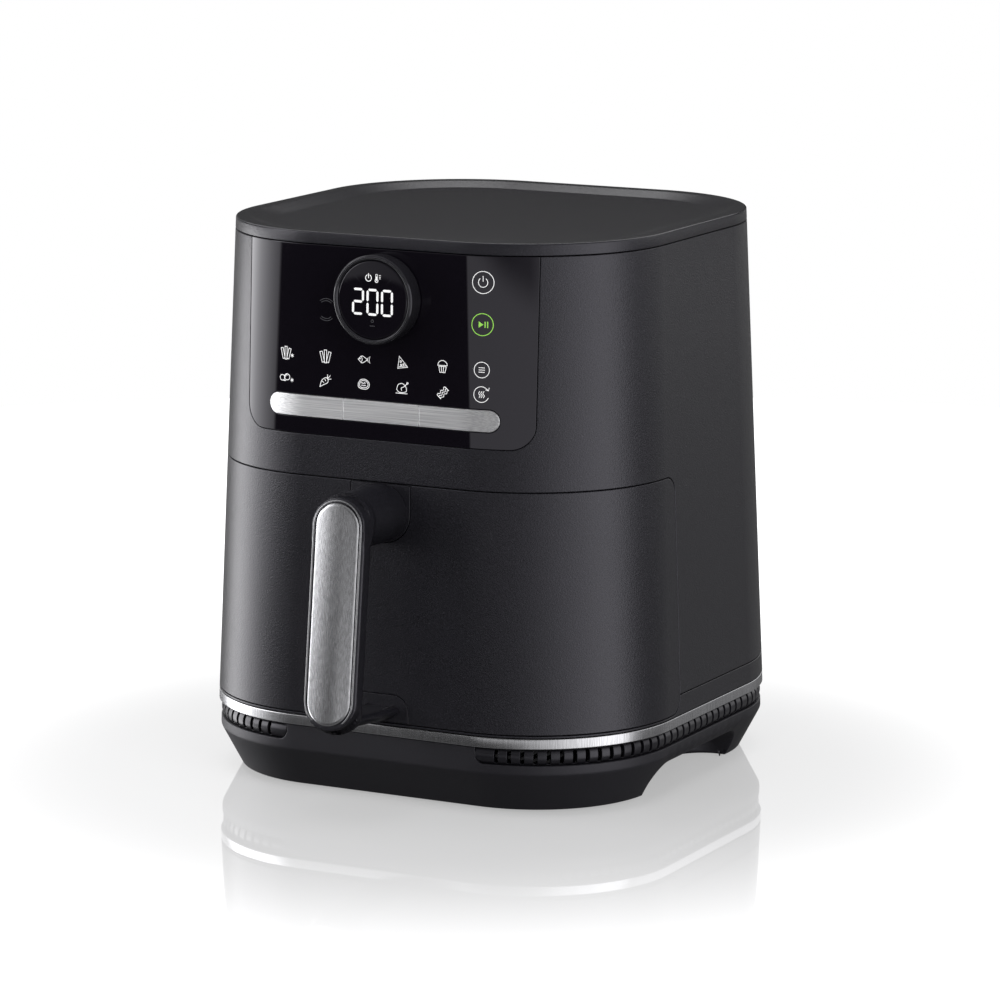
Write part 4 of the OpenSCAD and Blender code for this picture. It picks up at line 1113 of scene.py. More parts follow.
def recess_loop(skin, side):
    """Outline of the mouth of one lifting recess."""
    g = base_sizes()
    half, middle = g.recess_length / 2, -g.recess_shift
    r = g.recess_corner
    flat = dense(rounded_box(middle - half, middle + half, -20, g.recess_height, (0, r, r, 0), 12), 2)
    loop = [(side * float(skin.s_of_y(y, z)), z) for y, z in flat]
    return loop if side > 0 else loop[::-1]


def at_level(level):
    """Places the points of a local plane at a level over it."""
    return lambda a, b, depth: np.stack([a, b, np.full(len(a), level) - depth], -1)


def unplaced(obj):
    """Takes a piece back to its local plane."""
    obj.data.transform(Matrix.Translation((0, -CENTRE_Y, 0)))
    return obj


def flat_plate(name, loops, level, thickness, edge, material=None):
    """A flat moulding with rounded edges, its face at a level over the local plane."""
    return unplaced(moulded(name, loops, at_level(level), thickness, material or dark_plastic(), edge))


class FRYER_OT_back(FryerOperator, Operator):
    """Makes the air outlet's framed grille and the lead's gland"""

    bl_idname = "fryer.back"
    bl_label = "Outlet And Gland"

    def build(self):
        self.outlet(round_axis(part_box("outlet_grille")))
        self.gland(round_axis(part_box("cord_gland")))

    def outlet(self, box):
        (x0, _, z0), (x1, _, z1) = box
        half, tall = (x1 - x0) / 2, (z1 - z0) / 2
        border, bars, proud, open_x, open_z = OUTLET_BORDER, 10, 2.1, 41.2, 22.2
        opening = rounded_box(-open_x, open_x, -open_z, open_z, (1.5,) * 4, 5)
        flange = rounded_box(-half, half, -tall, tall, (border,) * 4, 8)
        neck = rounded_box(border - half, half - border, border - tall, tall - border, (1.2,) * 4, 5)
        slat = rounded_box(-2, 2, -open_z - 0.2, open_z + 0.2, (0.3,) * 4, 3)
        pitch = 2 * (half - border - 2) / (bars + 1)
        slats = flat_plate("slat", [slat], 1.3, 3.6, 0.9)
        parts = [
            flat_plate("flange", [flange, opening], proud, proud, 0.8),
            flat_plate("neck", [neck, opening], 0, 2.8, 0.2),
            repeated(slats, bars, (pitch, 0, 0), place=(-pitch * (bars - 1) / 2, 0, 0)),
        ]
        grille = to_frame(joined("outlet_grille_frame", parts), front_frame(*middle_of(box), back=True))
        place_on("housing", grille, "dark_plastic", "outlet_grille")

    def gland(self, box):
        bore, neck, collar, proud, ribs = 3.6, 6.9, (box[1][0] - box[0][0]) / 2, 0.75, 24
        profile = [(bore, -9), (neck, -9), (neck, 0.1), (collar, 0.1), (collar, 0.4), (collar - 0.9, proud)]
        profile += [(bore, proud), (bore, -9)]
        ring = turned("cord_gland_ring", bend(profile, 0.25, 4)[:-1], dark_plastic(), 72)
        outline = rounded_box(neck - 0.6, collar - 0.35, -0.35, 0.35, (0.2,) * 4, 2)
        rib = flat_plate("rib", [outline], 0.7, 0.55, 0.15)
        gland = joined("cord_gland_ring", [ring, repeated(rib, ribs, turn=360 / ribs)])
        to_frame(gland, front_frame(*middle_of(box), back=True))
        place_on("housing", gland, "dark_plastic", "cord_gland")


class FRYER_OT_underside(FryerOperator, Operator):
    """Makes the rubber feet and the screws that hold the bottom plate"""

    bl_idname = "fryer.underside"
    bl_label = "Feet And Screws"

    def build(self):
        r, box = base_sizes().foot_radius, round_axis(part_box("rubber_feet"))
        tall = box[1][2] - box[0][2]
        profile = bend([(0, 0), (r - 1.2, 0), (r - 0.2, 1.6), (r, tall), (0, tall)], 0.6)
        self.four(lathe("rubber_feet_set", profile, rubber(), 48), box, r, "rubber", "rubber_feet")
        head, box = 3.3, round_axis(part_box("base_screws"))
        tall = box[1][2] - box[0][2]
        profile = [(1.7, -0.6), (head - 0.9, 0), (head, 0.9), (head, 2.2), (1.6, 2.2), (1.6, tall), (0, tall)]
        profile = [(0, 1.2), (0.9, 1.2), (0.9, 0.1)] + bend(profile, 0.25, 3)[1:]
        self.four(lathe("base_screw_set", profile, steel(), 40), box, head, "steel", "base_screws")

    def four(self, piece, box, r, slot, node):
        """Places a piece of a radius at the four corners of a box."""
        (x0, y0, level), (x1, y1, _) = box
        x, y = (x1 - x0) / 2 - r, (y1 - y0) / 2 - r
        row = repeated(piece, 2, (2 * x, 0, 0), place=(-x, 0, level))
        both = repeated(row, 2, (0, 2 * y, 0), place=(0, -y, 0))
        to_frame(both, Matrix.Translation((0, (y0 + y1) / 2, 0)))
        place_on("housing", both, slot, node)


def grille_loop(skin, grow, top, side):
    """Outline of one grille strip: from the front round both corners to the back."""
    g = base_sizes()
    low = g.base_level - g.grille_height - 0.3 - grow
    z = low + 4
    first = float(skin.s_of_x(g.grille_end - grow, z))
    last = float(skin.end(z)) - first
    flat = dense(rounded_box(first, last, low, top, (5 + grow, 0, 0, 5 + grow), 8), 2.1)
    loop = [(side * s, h) for s, h in flat]
    return loop if side > 0 else loop[::-1]


SLOT_HALF = 3.7
CORNER_END, SIDE_END = 8.4, 6.7


class FRYER_OT_grilles(FryerOperator, Operator):
    """Makes the two bulged air grilles with their slots"""

    bl_idname = "fryer.grilles"
    bl_label = "Air Grilles"

    def build(self):
        g, skin = base_sizes(), Skin()
        top = g.base_level - 0.3
        height, bulge = g.grille_height, g.grille_bulge
        middle = top - height / 2
        r = ((height / 2) ** 2 + bulge**2) / (2 * bulge)

        def place(s, z, depth):
            h = np.clip(z - middle, -height / 2, height / 2)
            return skin.point(s, z, g.inset + r - np.sqrt(r * r - h * h) + depth)

        for side, name in ((1, "grille_right"), (-1, "grille_left")):
            loop = grille_loop(skin, -0.05, top, side)
            slots = []
            for s in self.places(skin, middle):
                x0, x1 = s - g.slot_width / 2, s + g.slot_width / 2
                box = rounded_box(x0, x1, middle - SLOT_HALF, middle + SLOT_HALF, (0.5,) * 4, 3)
                slots.append(dense([(side * a, b) for a, b in box][:: side], 1.2))
            grid = [
                (side * s, z)
                for z in np.linspace(middle - height / 2, middle + height / 2, 9)[1:-1]
                for s in skin.columns(middle, 1.2, 4).tolist()
            ]
            strip = moulded(
                name + "_strip", [loop] + slots, place, 3.4, dark_plastic(), 0.22, grid,
                numeric_normal(place), 3,
                keep_off=0.45,
            )
            place_on("housing", strip, "dark_plastic", name)

    def places(self, skin, z):
        """Middle of every slot along the strip."""
        g = base_sizes()
        r = skin.r - g.inset
        cx, cy, front, side, *_ = (float(v) for v in skin.breaks(z))
        first = math.degrees(math.asin((g.grille_end - cx) / r)) + CORNER_END
        step = (90 - 1.2 - first) / (g.corner_slots - 1)
        near = [front + skin.r * math.radians(first + step * i) for i in range(g.corner_slots)]
        middle = [side + cy + v for v in np.linspace(SIDE_END - cy, cy - SIDE_END, g.side_slots)]
        whole = float(skin.end(z))
        return near + middle + [whole - s for s in reversed(near)]


# ---- panel and dial


def raised(skin, proud):
    """Places points a little out of the skin."""
    return lambda s, z, depth: skin.point(s, z, depth - proud)


def bar_metal():
    return brushed("X", 0.42, 1.6)


STEM_X = 40


class FRYER_OT_panel(FryerOperator, Operator):
    """Makes the glossy panel and its metal key bar"""

    bl_idname = "fryer.panel"
    bl_label = "Panel And Keys"

    def build(self):
        b, p, skin = body_sizes(), panel_sizes(), Skin()
        top, level = b.cap_level - b.seam / 2, p.bar_level
        half, r, gap = p.bar_length / 2, p.bar_height / 2, 0.25
        seat = rounded_box(-half - gap, half + gap, level - r - gap, level + r + gap, (r + gap,) * 4)
        dial = arc(0, p.dial_level, p.glass_radius + 0.5, 0, 355, 71)
        levels = np.linspace(p.low, top, 26)[1:-1]
        grid = [(v, z) for z in levels for v in skin.columns(z, 2.1, 7).tolist() if v < 100]
        grid += [(-s, z) for s, z in grid if s > 0]
        loops = [panel_loop(skin, 0, top), front_points(skin, dense(seat, 2)), front_points(skin, dial)]
        panel = moulded("panel_face", loops, skin.point, 1.9, gloss_black(), 0.35, grid, skin.normal, steps=3)
        place_on("housing", panel, "gloss_black", "control_panel")
        middle, gap = p.bar_middle / 2, 0.16
        parts = (
            ("bar_middle", gap - middle, middle - gap, "housing", "bar_centre", 1.9),
            ("key_right_cap", middle + gap, half, "right_key", "key_right", 1.0),
            ("key_left_cap", -half, -middle - gap, "left_key", "key_left", 1.0),
        )
        for name, x0, x1, body, stands_for, depth in parts:
            right, left = r if x1 == half else 0.2, r if x0 == -half else 0.2
            outline = rounded_box(x0, x1, level - r, level + r, (right, right, left, left), 12)
            levels = np.linspace(level - r, level + r, 7)[1:-1]
            rows = front_points(skin, [(x, z) for z in levels for x in np.linspace(x0, x1, 28)[1:-1]])
            cap = moulded(
                name, [front_points(skin, dense(outline, 2))], raised(skin, p.bar_proud), depth + p.bar_proud,
                bar_metal(), 0.4, rows, skin.normal,
            )
            pieces = [cap] if body == "housing" else [cap, self.stem(name, body)]
            place_on(body, joined(name, pieces), "brushed_metal", stands_for)

    def stem(self, name, body):
        """Stem behind a key that works its switch."""
        _, (_, back, _) = round_axis(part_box("key_right" if body == "right_key" else "key_left"))
        x, z = STEM_X if body == "right_key" else -STEM_X, panel_sizes().bar_level
        deep = back + float(Skin().half_depth(z)) - 0.6
        turn = Matrix.Translation((x, back, z)) @ Matrix.Rotation(math.pi / 2, 4, "X")
        profile = bend([(0, 0), (2.5, 0), (2.5, deep), (0, deep)], 0.4)
        return lathe(name + "_stem", profile, bar_metal(), 40, turn)


def stroke(points, width, closed=False):
    """Outline of a line of even width with round ends."""
    p = np.array(points, float)
    if closed:
        sides = [shifted(points, w).tolist() for w in (-width / 2, width / 2)]
        return sides if signed_area(points) > 0 else sides[::-1]
    step = np.diff(p, axis=0)
    step /= np.linalg.norm(step, axis=1, keepdims=True)
    side = np.vstack([step[:1], step[:-1] + step[1:], step[-1:]])
    side /= np.linalg.norm(side, axis=1, keepdims=True)
    side = np.stack([-side[:, 1], side[:, 0]], 1) * width / 2
    head, tail = math.degrees(math.atan2(*step[-1][::-1])), math.degrees(math.atan2(*step[0][::-1]))
    right, left = (p - side).tolist(), (p + side).tolist()[::-1]
    end = arc(*p[-1], width / 2, head - 90, head + 90, 4)[1:-1]
    start = arc(*p[0], width / 2, tail + 90, tail + 270, 4)[1:-1]
    return [right + end + left + start]


def curve(*points, steps=8):
    """A smooth line through the given points."""
    p = [np.array(q, float) for q in points]
    p = [2 * p[0] - p[1]] + p + [2 * p[-1] - p[-2]]
    out = []
    for a, b, c, d in zip(p, p[1:], p[2:], p[3:]):
        for k in range(steps):
            t = k / steps
            square, cube = 2 * a - 5 * b + 4 * c - d, 3 * b - a - 3 * c + d
            out.append(0.5 * (2 * b + (c - a) * t + square * t * t + cube * t**3))
    return [tuple(q) for q in out + [p[-2]]]


def oval(x, y, rx, ry, start=0, stop=360, steps=20):
    """Points round an ellipse, or along a part of it, angles in degrees."""
    a = np.radians(np.linspace(start, stop, steps + 1))[: steps if stop - start >= 360 else None]
    return [(x + rx * math.cos(t), y + ry * math.sin(t)) for t in a]


def bar(x0, y0, x1, y1, width):
    """Corners of a straight stick drawn from one end to the other."""
    scale = width / 2 / math.hypot(x1 - x0, y1 - y0)
    px, py = (y1 - y0) * scale, (x0 - x1) * scale
    return [(x0 + px, y0 + py), (x1 + px, y1 + py), (x1 - px, y1 - py), (x0 - px, y0 - py)]


def wavy(x0, y0, x1, y1, swing, waves=2.5, steps=22):
    """A wavy line from one end to the other."""
    points = []
    for k in range(steps + 1):
        t = k / steps
        lift = swing * math.sin(t * waves * 2 * math.pi)
        points.append((x0 + (x1 - x0) * t - lift * 0.7, y0 + (y1 - y0) * t + lift * 0.7))
    return points


def drawn(*points):
    return list(points), False


def closed(*points):
    return list(points), True


def blob(*points):
    return curve(*points)[:-1], True


def rounded(x, y, rx, ry, start=0, stop=360, steps=20):
    return oval(x, y, rx, ry, start, stop, steps), stop - start >= 360


STICKS = [
    (bar(*ends, 1.5), True) for ends in ((-1.3, -3.2, -2.8, 2.5), (0, -3.6, 0, 3.5), (1.3, -3.2, 2.8, 2.5))
]
STAR = [drawn((4.3 - x, -1.2 - y), (4.3 + x, -1.2 + y)) for x, y in ((0, 0.95), (0.82, 0.47), (0.82, -0.47))]
# Each food symbol is a list of (points, closed) in millimetres round its own middle
FOODS = {
    "sticks_crisp": STICKS + STAR,
    "sticks": STICKS,
    "fish": [
        blob((-3.6, 0), (-1.2, 1.9), (1.9, 0.2), (1.9, -0.2), (-1.2, -1.9), (-3.6, 0)),
        drawn((1.9, 0.3), (3.7, 1.8), (3.2, 0), (3.7, -1.8), (1.9, -0.3)),
        (curve((-1.7, 1.5), (-1.1, 0), (-1.7, -1.5), steps=5), False), rounded(-2.5, 0.4, 0.2, 0.2, steps=8),
    ],
    "slice": [
        closed((-2.0, 3.5), (3.2, -2.2), (-2.9, -3.2)), drawn((-2.2, -2.3), (2.5, -1.5)),
        rounded(-1.1, 0.6, 0.5, 0.5, steps=9), rounded(-0.9, -1.2, 0.45, 0.45, steps=9),
        rounded(0.6, -0.9, 0.4, 0.4, steps=9),
    ],
    "cup_cake": [
        closed((-2.3, -0.2), (-1.6, -3.4), (1.6, -3.4), (2.3, -0.2)), rounded(0, 0.4, 2.9, 2.7, 0, 180, 14),
        drawn((-0.7, -0.6), (-0.5, -3)), drawn((0.7, -0.6), (0.5, -3)), drawn((-2.9, 0.4), (2.9, 0.4)),
    ],
    "bites_crisp": [
        rounded(-2.3, -0.3, 1.7, 1.6, steps=16), rounded(0.9, 0.3, 1.9, 1.7, steps=16),
        rounded(-0.8, -1.2, 1.0, 0.8, 200, 340, 8), rounded(0.7, 0.6, 0.9, 0.8, 60, 200, 8),
    ] + STAR,
    "root": [
        blob((-3.4, -3.4), (-2.2, 0.2), (0.3, 1.9), (1.7, 1.0), (1.4, -0.9), (-1.2, -2.2), (-3.4, -3.4)),
        drawn((1.3, 1.4), (1.5, 3.6)), drawn((1.5, 1.4), (3.1, 3.1)), drawn((1.7, 1.1), (3.7, 1.3)),
        drawn((-1.9, -0.2), (-0.9, -0.9)), drawn((-0.3, 0.9), (0.3, 0.1)),
    ],
    "marbled": [
        blob(
            (-3.5, 0.2), (-1.8, 2.5), (1.4, 2.6), (3.5, 0.4), (2.4, -2.2), (-0.8, -2.6), (-3.2, -1.7),
            (-3.5, 0.2)
        ),
        blob(
            (-2.7, 0.1), (-1.4, 1.8), (1.2, 1.9), (2.7, 0.2), (1.8, -1.5), (-0.8, -1.9), (-2.4, -1.2),
            (-2.7, 0.1)
        ),
        (wavy(-1.6, 0.6, 1.1, 0.7, 0.3, 1.5, 10), False), (wavy(-1.3, -0.7, 1.2, -0.6, 0.3, 1.5, 10), False),
    ],
    "roast": [
        blob(
            (-3.5, -1.2), (-2.6, 1.4), (-0.2, 2.3), (1.7, 1.2), (2.6, -0.6), (2.2, -2.2), (-1.6, -2.7),
            (-3.5, -1.2)
        ),
        (curve((-0.4, -1.6), (-0.6, -0.2), (0.8, 0.4), (2.0, 1.3), steps=5), False),
        drawn((1.9, 1.3), (2.9, 2.4)),
        rounded(3.2, 2.6, 0.45, 0.45, steps=9), drawn((-3.9, -3.2), (3.2, -3.2)),
    ],
    "rashers": [
        (wavy(-3.0 + x, -2.4 + y, 1.8 + x, 2.4 + y, 0.45), False)
        for x, y in ((0, 0), (1.05, -0.9), (2.1, -1.8))
    ] + [drawn((-3.0, -2.4), (-0.9, -4.2)), drawn((1.8, 2.4), (3.9, 0.6))],
}


FOOD_COLUMNS, FOOD_LEVELS = (-61, -35.3, -11, 13.1, 37.9), (247.7, 234.0)
# the right column: power, menu and warm-again, each at its height
KEY_X = 61.4
WARM_LINES = [
    curve((x, -1.7), (x + 0.5, -0.6), (x - 0.3, 0.5), (x + 0.3, 1.7), steps=4) for x in (-1.2, 0, 1.2)
]
KEYS = (
    (294.8, [
        rounded(0, 0, 2.6, 2.6, 130, 410, 18), drawn((0, 0.6), (0, 3.4)), rounded(0, 0, 6, 6, steps=36)
    ]),
    (247.2, [rounded(0, 0, 4.3, 4.3, steps=30)] + [drawn((-1.6, y), (1.6, y)) for y in (-1.2, 0, 1.2)]),
    (233.8, [rounded(0, 0, 4.3, 4.3, 30, 335, 26), drawn((2.5, 2.7), (3.9, 2.2), (4.3, 3.7))]),
    (233.8, [(points, False) for points in WARM_LINES]),
)
START_Z = 271.9
START_MARKS = [[(-2.1, -1.7), (0.6, 0), (-2.1, 1.7)]]
START_MARKS += [[(x, -1.7), (x + 0.6, -1.7), (x + 0.6, 1.7), (x, 1.7)] for x in (1.2, 2.6)]
ARCS_AT = (-35.0, 273.6)
PRINT_PROUD = 0.035


def printed(name, marks, place, material):
    """Thin raised print: each mark is a list of loops, the first its outline and the others its holes."""
    parts = [
        moulded(f"{name}_{k}", loops, place, 0.03, material, edge=0, steps=1) for k, loops in enumerate(marks)
    ]
    return joined(name, parts)


class FRYER_OT_symbols(FryerOperator, Operator):
    """Makes the lit symbols of the panel"""

    bl_idname = "fryer.symbols"
    bl_label = "Panel Symbols"

    def build(self):
        skin, width = Skin(), panel_sizes().stroke
        print_on = raised(skin, PRINT_PROUD)
        places = [(x, z) for z in FOOD_LEVELS for x in FOOD_COLUMNS]
        foods = [(x, z, marks) for (x, z), marks in zip(places, FOODS.values())]
        keys = [(KEY_X, z, marks) for z, marks in KEYS]
        reach = [(r, tilt) for tilt in (90, 270) for r in (4.9, 6.1)]
        arcs = [rounded(0, 0, r, r, tilt - 38, tilt + 38, 12) for r, tilt in reach]
        faint = self.marks(skin, [(*ARCS_AT, arcs)], width)
        place_on("housing", printed("faint_arcs", faint, print_on, faint_symbol()), "gloss_black")
        white = self.marks(skin, foods + keys, width)
        place_on("housing", printed("panel_symbols", white, print_on, lit_symbol()), "gloss_black")
        start = self.marks(skin, [(KEY_X, START_Z, [rounded(0, 0, 6, 6, steps=40)])], width * 1.25)
        for points in START_MARKS:
            start.append([front_points(skin, [(KEY_X + x, START_Z + z) for x, z in points])])
        green = lit("Lit Start Symbol", finishes().start, 0.45)
        place_on("housing", printed("start_symbol", start, print_on, green), "gloss_black")

    def marks(self, skin, symbols, width):
        """Loops on the skin of every line of the symbols."""
        out = []
        for x, z, lines in symbols:
            for points, closed in lines:
                loops = stroke(points, width, closed)
                out.append([front_points(skin, [(x + a, z + b) for a, b in loop]) for loop in loops])
        return out


FIGURES = "200"
SEGMENTS = {
    "0": "abcdef", "1": "bc", "2": "abged", "3": "abgcd", "4": "fgbc",
    "5": "afgcd", "6": "afgedc", "7": "abc", "8": "abcdefg", "9": "abcdfg",
}
# lines over the figures, each with its width: a clock-like ring with its stroke, and a thermometer
SMALL_MARKS = [
    (oval(-2.6, 12, 1.8, 1.8, 120, 420, 16), 0.45), ([(-2.6, 14.4), (-2.6, 12)], 0.45),
    (oval(2.4, 10.7, 0.9, 0.9, 125, 415, 12), 0.4),
    ([(1.9, 11.5), (1.9, 14.2), (2.9, 14.2), (2.9, 11.5)], 0.35),
    ([(2.4, 10.7), (2.4, 12.9)], 0.5),
] + [([(4.0, y), (4.9, y)], 0.3) for y in (11.9, 12.8, 13.7)]


class FRYER_OT_dial(FryerOperator, Operator):
    """Makes the turning ring, its display glass and the lit figures"""

    bl_idname = "fryer.dial"
    bl_label = "Dial"

    def build(self):
        p = panel_sizes()
        at = front_frame(0, p.dial_level)
        r, reach, glass = p.dial_radius, p.dial_reach, p.glass_radius
        inner, face = glass + 0.15, reach - 0.05
        side = [
            (inner, 0.6), (r - 0.5, 0.6), (r, 1.1), (r, reach - 0.8), (r - 0.8, face), (inner + 0.9, face)
        ]
        side += [(inner, reach - 0.9), (inner, 0.6)]
        metal = finish(
            "Dial Metal", (0.011, 0.0105, 0.013), 0.14, 0.0, 0.12, 1800, 0.02, stretch=(1, 1, 0.05)
        )
        ring = turned("dial_ring_body", bend(side, 0.3, 3)[:-1], metal)
        # the two thin light rings on the dial's face are painted highlights: lighter metal set in where the
        # face's chamfers catch the light
        bright = plain_metal("Dial Accent", (0.16, 0.16, 0.17), 0.3)
        edge = [(0, -0.4), (0.22, -0.4), (0.22, 0.04), (0, 0.04)]
        rings = [
            turned("accent", [(start + a, face + h) for a, h in edge], bright)
            for start in (r - 1.2, inner + 0.95)
        ]
        rib = [(r - 0.1, -0.22), (r, 0), (r - 0.1, 0.22)]
        points = [(x, y, z) for z in (2, reach - 2) for x, y in rib]
        faces = [(0, 1, 2), (5, 4, 3), (0, 3, 4, 1), (1, 4, 5, 2), (2, 5, 3, 0)]
        knurl = outward(new_object("knurl", points, faces, metal, 35, False))
        whole = joined("dial_ring_body", [ring, *rings, repeated(knurl, p.knurls, turn=360 / p.knurls)])
        place_on("dial", to_frame(whole, at), "dial_metal", "dial_ring")
        low = reach - 2.2
        dome = bend(
            [(glass, low), (glass, reach - 1.15), (glass - 0.6, reach - 0.75), (0, reach - 0.7)], 0.5, 4
        )
        lens = lathe("display_glass", [(0, low)] + dome, gloss_black(), 120, at)
        place_on("housing", lens, "gloss_black", "dial_lens")
        unit = [
            stroke(oval(0, -11.5, 0.75, 0.75, steps=12), 0.3, True),
            stroke([(-1.4, -14.2), (1.4, -14.2)], 0.35)
        ]
        drawn = (("display_figures", self.figures(), lit_symbol()), ("display_unit", unit, faint_symbol()))
        for name, marks, material in drawn:
            piece = unplaced(printed(name, marks, at_level(reach - 0.66), material))
            place_on("housing", to_frame(piece, at), "gloss_black")

    def bar_mark(self, first, second, width, short):
        """One pointed bar of a figure between two corners, a little short at both."""
        a, b = (np.array(v) for v in (first, second))
        u = (b - a) / np.linalg.norm(b - a)
        a, b, q = a + u * short, b - u * short, u * width / 2
        p = np.array([-q[1], q[0]])
        return [[tuple(v) for v in (a, a + q - p, b - q - p, b, b - q + p, a + q + p)]]

    def figures(self):
        """The figures of a temperature, and small symbols over them."""
        width, height, pitch, level = 6.1, 13.4, 9.0, -1.2
        top, low = level + height / 2, level - height / 2
        marks = []
        for k, digit in enumerate(FIGURES):
            x0, x1 = (k - 1) * pitch - width / 2, (k - 1) * pitch + width / 2
            bars = {
                "a": ((x0, top), (x1, top)), "g": ((x0, level), (x1, level)), "d": ((x0, low), (x1, low)),
                "f": ((x0, top), (x0, level)), "b": ((x1, top), (x1, level)),
                "e": ((x0, level), (x0, low)), "c": ((x1, level), (x1, low)),
            }
            marks += [self.bar_mark(*bars[name], 1.3, 0.35) for name in SEGMENTS[digit]]
        marks += [stroke(points, width) for points, width in SMALL_MARKS]
        return marks


# the cooking parts whose round corners show when the drawer is out
SMOOTHED = (
    ("pan", "drawer", "nonstick"), ("crisper_plate", "crisper", "nonstick"),
    ("cooking_chamber", "housing", "sheet")
)


class FRYER_OT_carried(FryerOperator, Operator):
    """Gives the parts that come straight from the model their finishes"""

    bl_idname = "fryer.carried"
    bl_label = "Inner Parts"

    def build(self):
        sheet = plain_metal("Sheet Metal", finishes().sheet, 0.34)
        coat = finish("Non-stick Coat", finishes().coat, 0.32, vary=0.3, fine=2500, bump=0.08, fleck=0.12)
        board = finish("Circuit Board", (0.03, 0.14, 0.06), 0.4, vary=0.4, fine=260, bump=0.05)
        heater = finish("Heater Tube", (0.13, 0.115, 0.1), 0.42, 0.8, 0.25, 500, 0.1)
        pale = finish("Pale Plastic", (0.7, 0.7, 0.67), 0.4, vary=0.06, fine=900, bump=0.05)
        finishes_of = {
            "pan": coat, "crisper_plate": coat, "plate_bumpers": rubber(), "rubber_feet": rubber(),
            "cooking_chamber": sheet, "runner_left": sheet, "runner_right": sheet, "fan_shroud": sheet,
            "motor_bracket": sheet, "motor": steel(), "motor_shaft": steel(), "fan_nut": steel(),
            "hot_air_fan": sheet,
            "cooling_fan": pale, "heater_coil": heater, "heater_guard": steel(), "control_board": board,
            "power_board": board, "base_screws": steel(), "handle_screws": steel(),
        }
        for name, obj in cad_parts.items():
            material = finishes_of.get(name, matt_plastic())
            obj.data.materials.clear()
            obj.data.materials.append(material)
        for name, body, slot in SMOOTHED:
            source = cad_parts[name]
            piece = linked(name + "_smooth", source.data.copy())
            piece.matrix_world = source.matrix_world.copy()
            place_on(body, self.smooth(piece), slot, name)

    def smooth(self, obj):
        """Lets the small facets of a round corner blend, and keeps the large faces flat."""
        split = obj.data.attributes.get("custom_normal")
        if split:
            obj.data.attributes.remove(split)
        outward(obj, 32, 3e-5)
        weights = obj.modifiers.new("weights", "WEIGHTED_NORMAL")
        weights.keep_sharp = True
        return applied(obj)


# ---- handle


def fused(a, b, r):
    """Union of two bodies with a rounded inner corner."""
    return np.maximum(r, np.minimum(a, b)) - np.hypot(np.maximum(r - a, 0), np.maximum(r - b, 0))


def trimmed(a, b, r):
    """What two bodies share, with a rounded outer edge."""
    return -fused(-a, -b, r)


def skinned(name, field, low, high, cell, material):
    """A smooth mesh of the points where a field is zero; it is negative inside."""
    axes = [np.arange(low[i], high[i] + cell, cell) for i in range(3)]
    solid = field(*np.meshgrid(*axes, indexing="ij")) < 0
    n = [len(a) - 1 for a in axes]
    count = sum(
        solid[i : n[0] + i, j : n[1] + j, k : n[2] + k].astype(int) for i in (0, 1) for j in (0, 1)
        for k in (0, 1)
    )
    live = (count > 0) & (count < 8)
    index = np.full(live.shape, -1)
    index[live] = np.arange(live.sum())
    start = np.stack([axes[i][c] + cell / 2 for i, c in enumerate(np.nonzero(live))], -1)
    points = start.copy()
    for _ in range(8):
        slope = gradient(field, points)
        step = field(*points.T)[:, None] * slope
        points = np.clip(points - step, start - 0.7 * cell, start + 0.7 * cell)
    faces = []
    for axis in range(3):
        b, c = (axis + 1) % 3, (axis + 2) % 3
        one = np.take(solid, range(n[axis]), axis)
        two = np.take(solid, range(1, n[axis] + 1), axis)
        for change, flip in ((one & ~two, False), (~one & two, True)):
            at = np.stack(np.nonzero(change), -1)
            at = at[(at[:, b] > 0) & (at[:, c] > 0) & (at[:, b] < n[b]) & (at[:, c] < n[c])]
            ring = []
            for db, dc in ((-1, -1), (0, -1), (0, 0), (-1, 0)):
                q = at.copy()
                q[:, b] += db
                q[:, c] += dc
                ring.append(index[q[:, 0], q[:, 1], q[:, 2]])
            quad = np.stack(ring, -1)
            faces.append(quad[:, ::-1] if flip else quad)
    obj = new_object(name, points, np.concatenate(faces).tolist(), material, 0)
    sharpen(obj, gradient(field, points), walls=False)
    return obj


def gradient(field, points, h=0.05):
    """Unit direction in which a field grows."""
    steps = h * np.eye(3)
    slope = np.stack([field(*(points + step).T) - field(*(points - step).T) for step in steps], -1)
    return slope / np.maximum(np.linalg.norm(slope, axis=1, keepdims=True), 1e-9)


# the arms against the grip's half width and face, how deep they root, and the heights of their ends
ARM_INSET, ARM_BEHIND, ROOT_DEPTH = 1.7, 4.5, 0.7
UPPER_ROOT, LOWER_ROOF = 16.6, (59.4, 55.4)
INLAY_BOW = 1.7


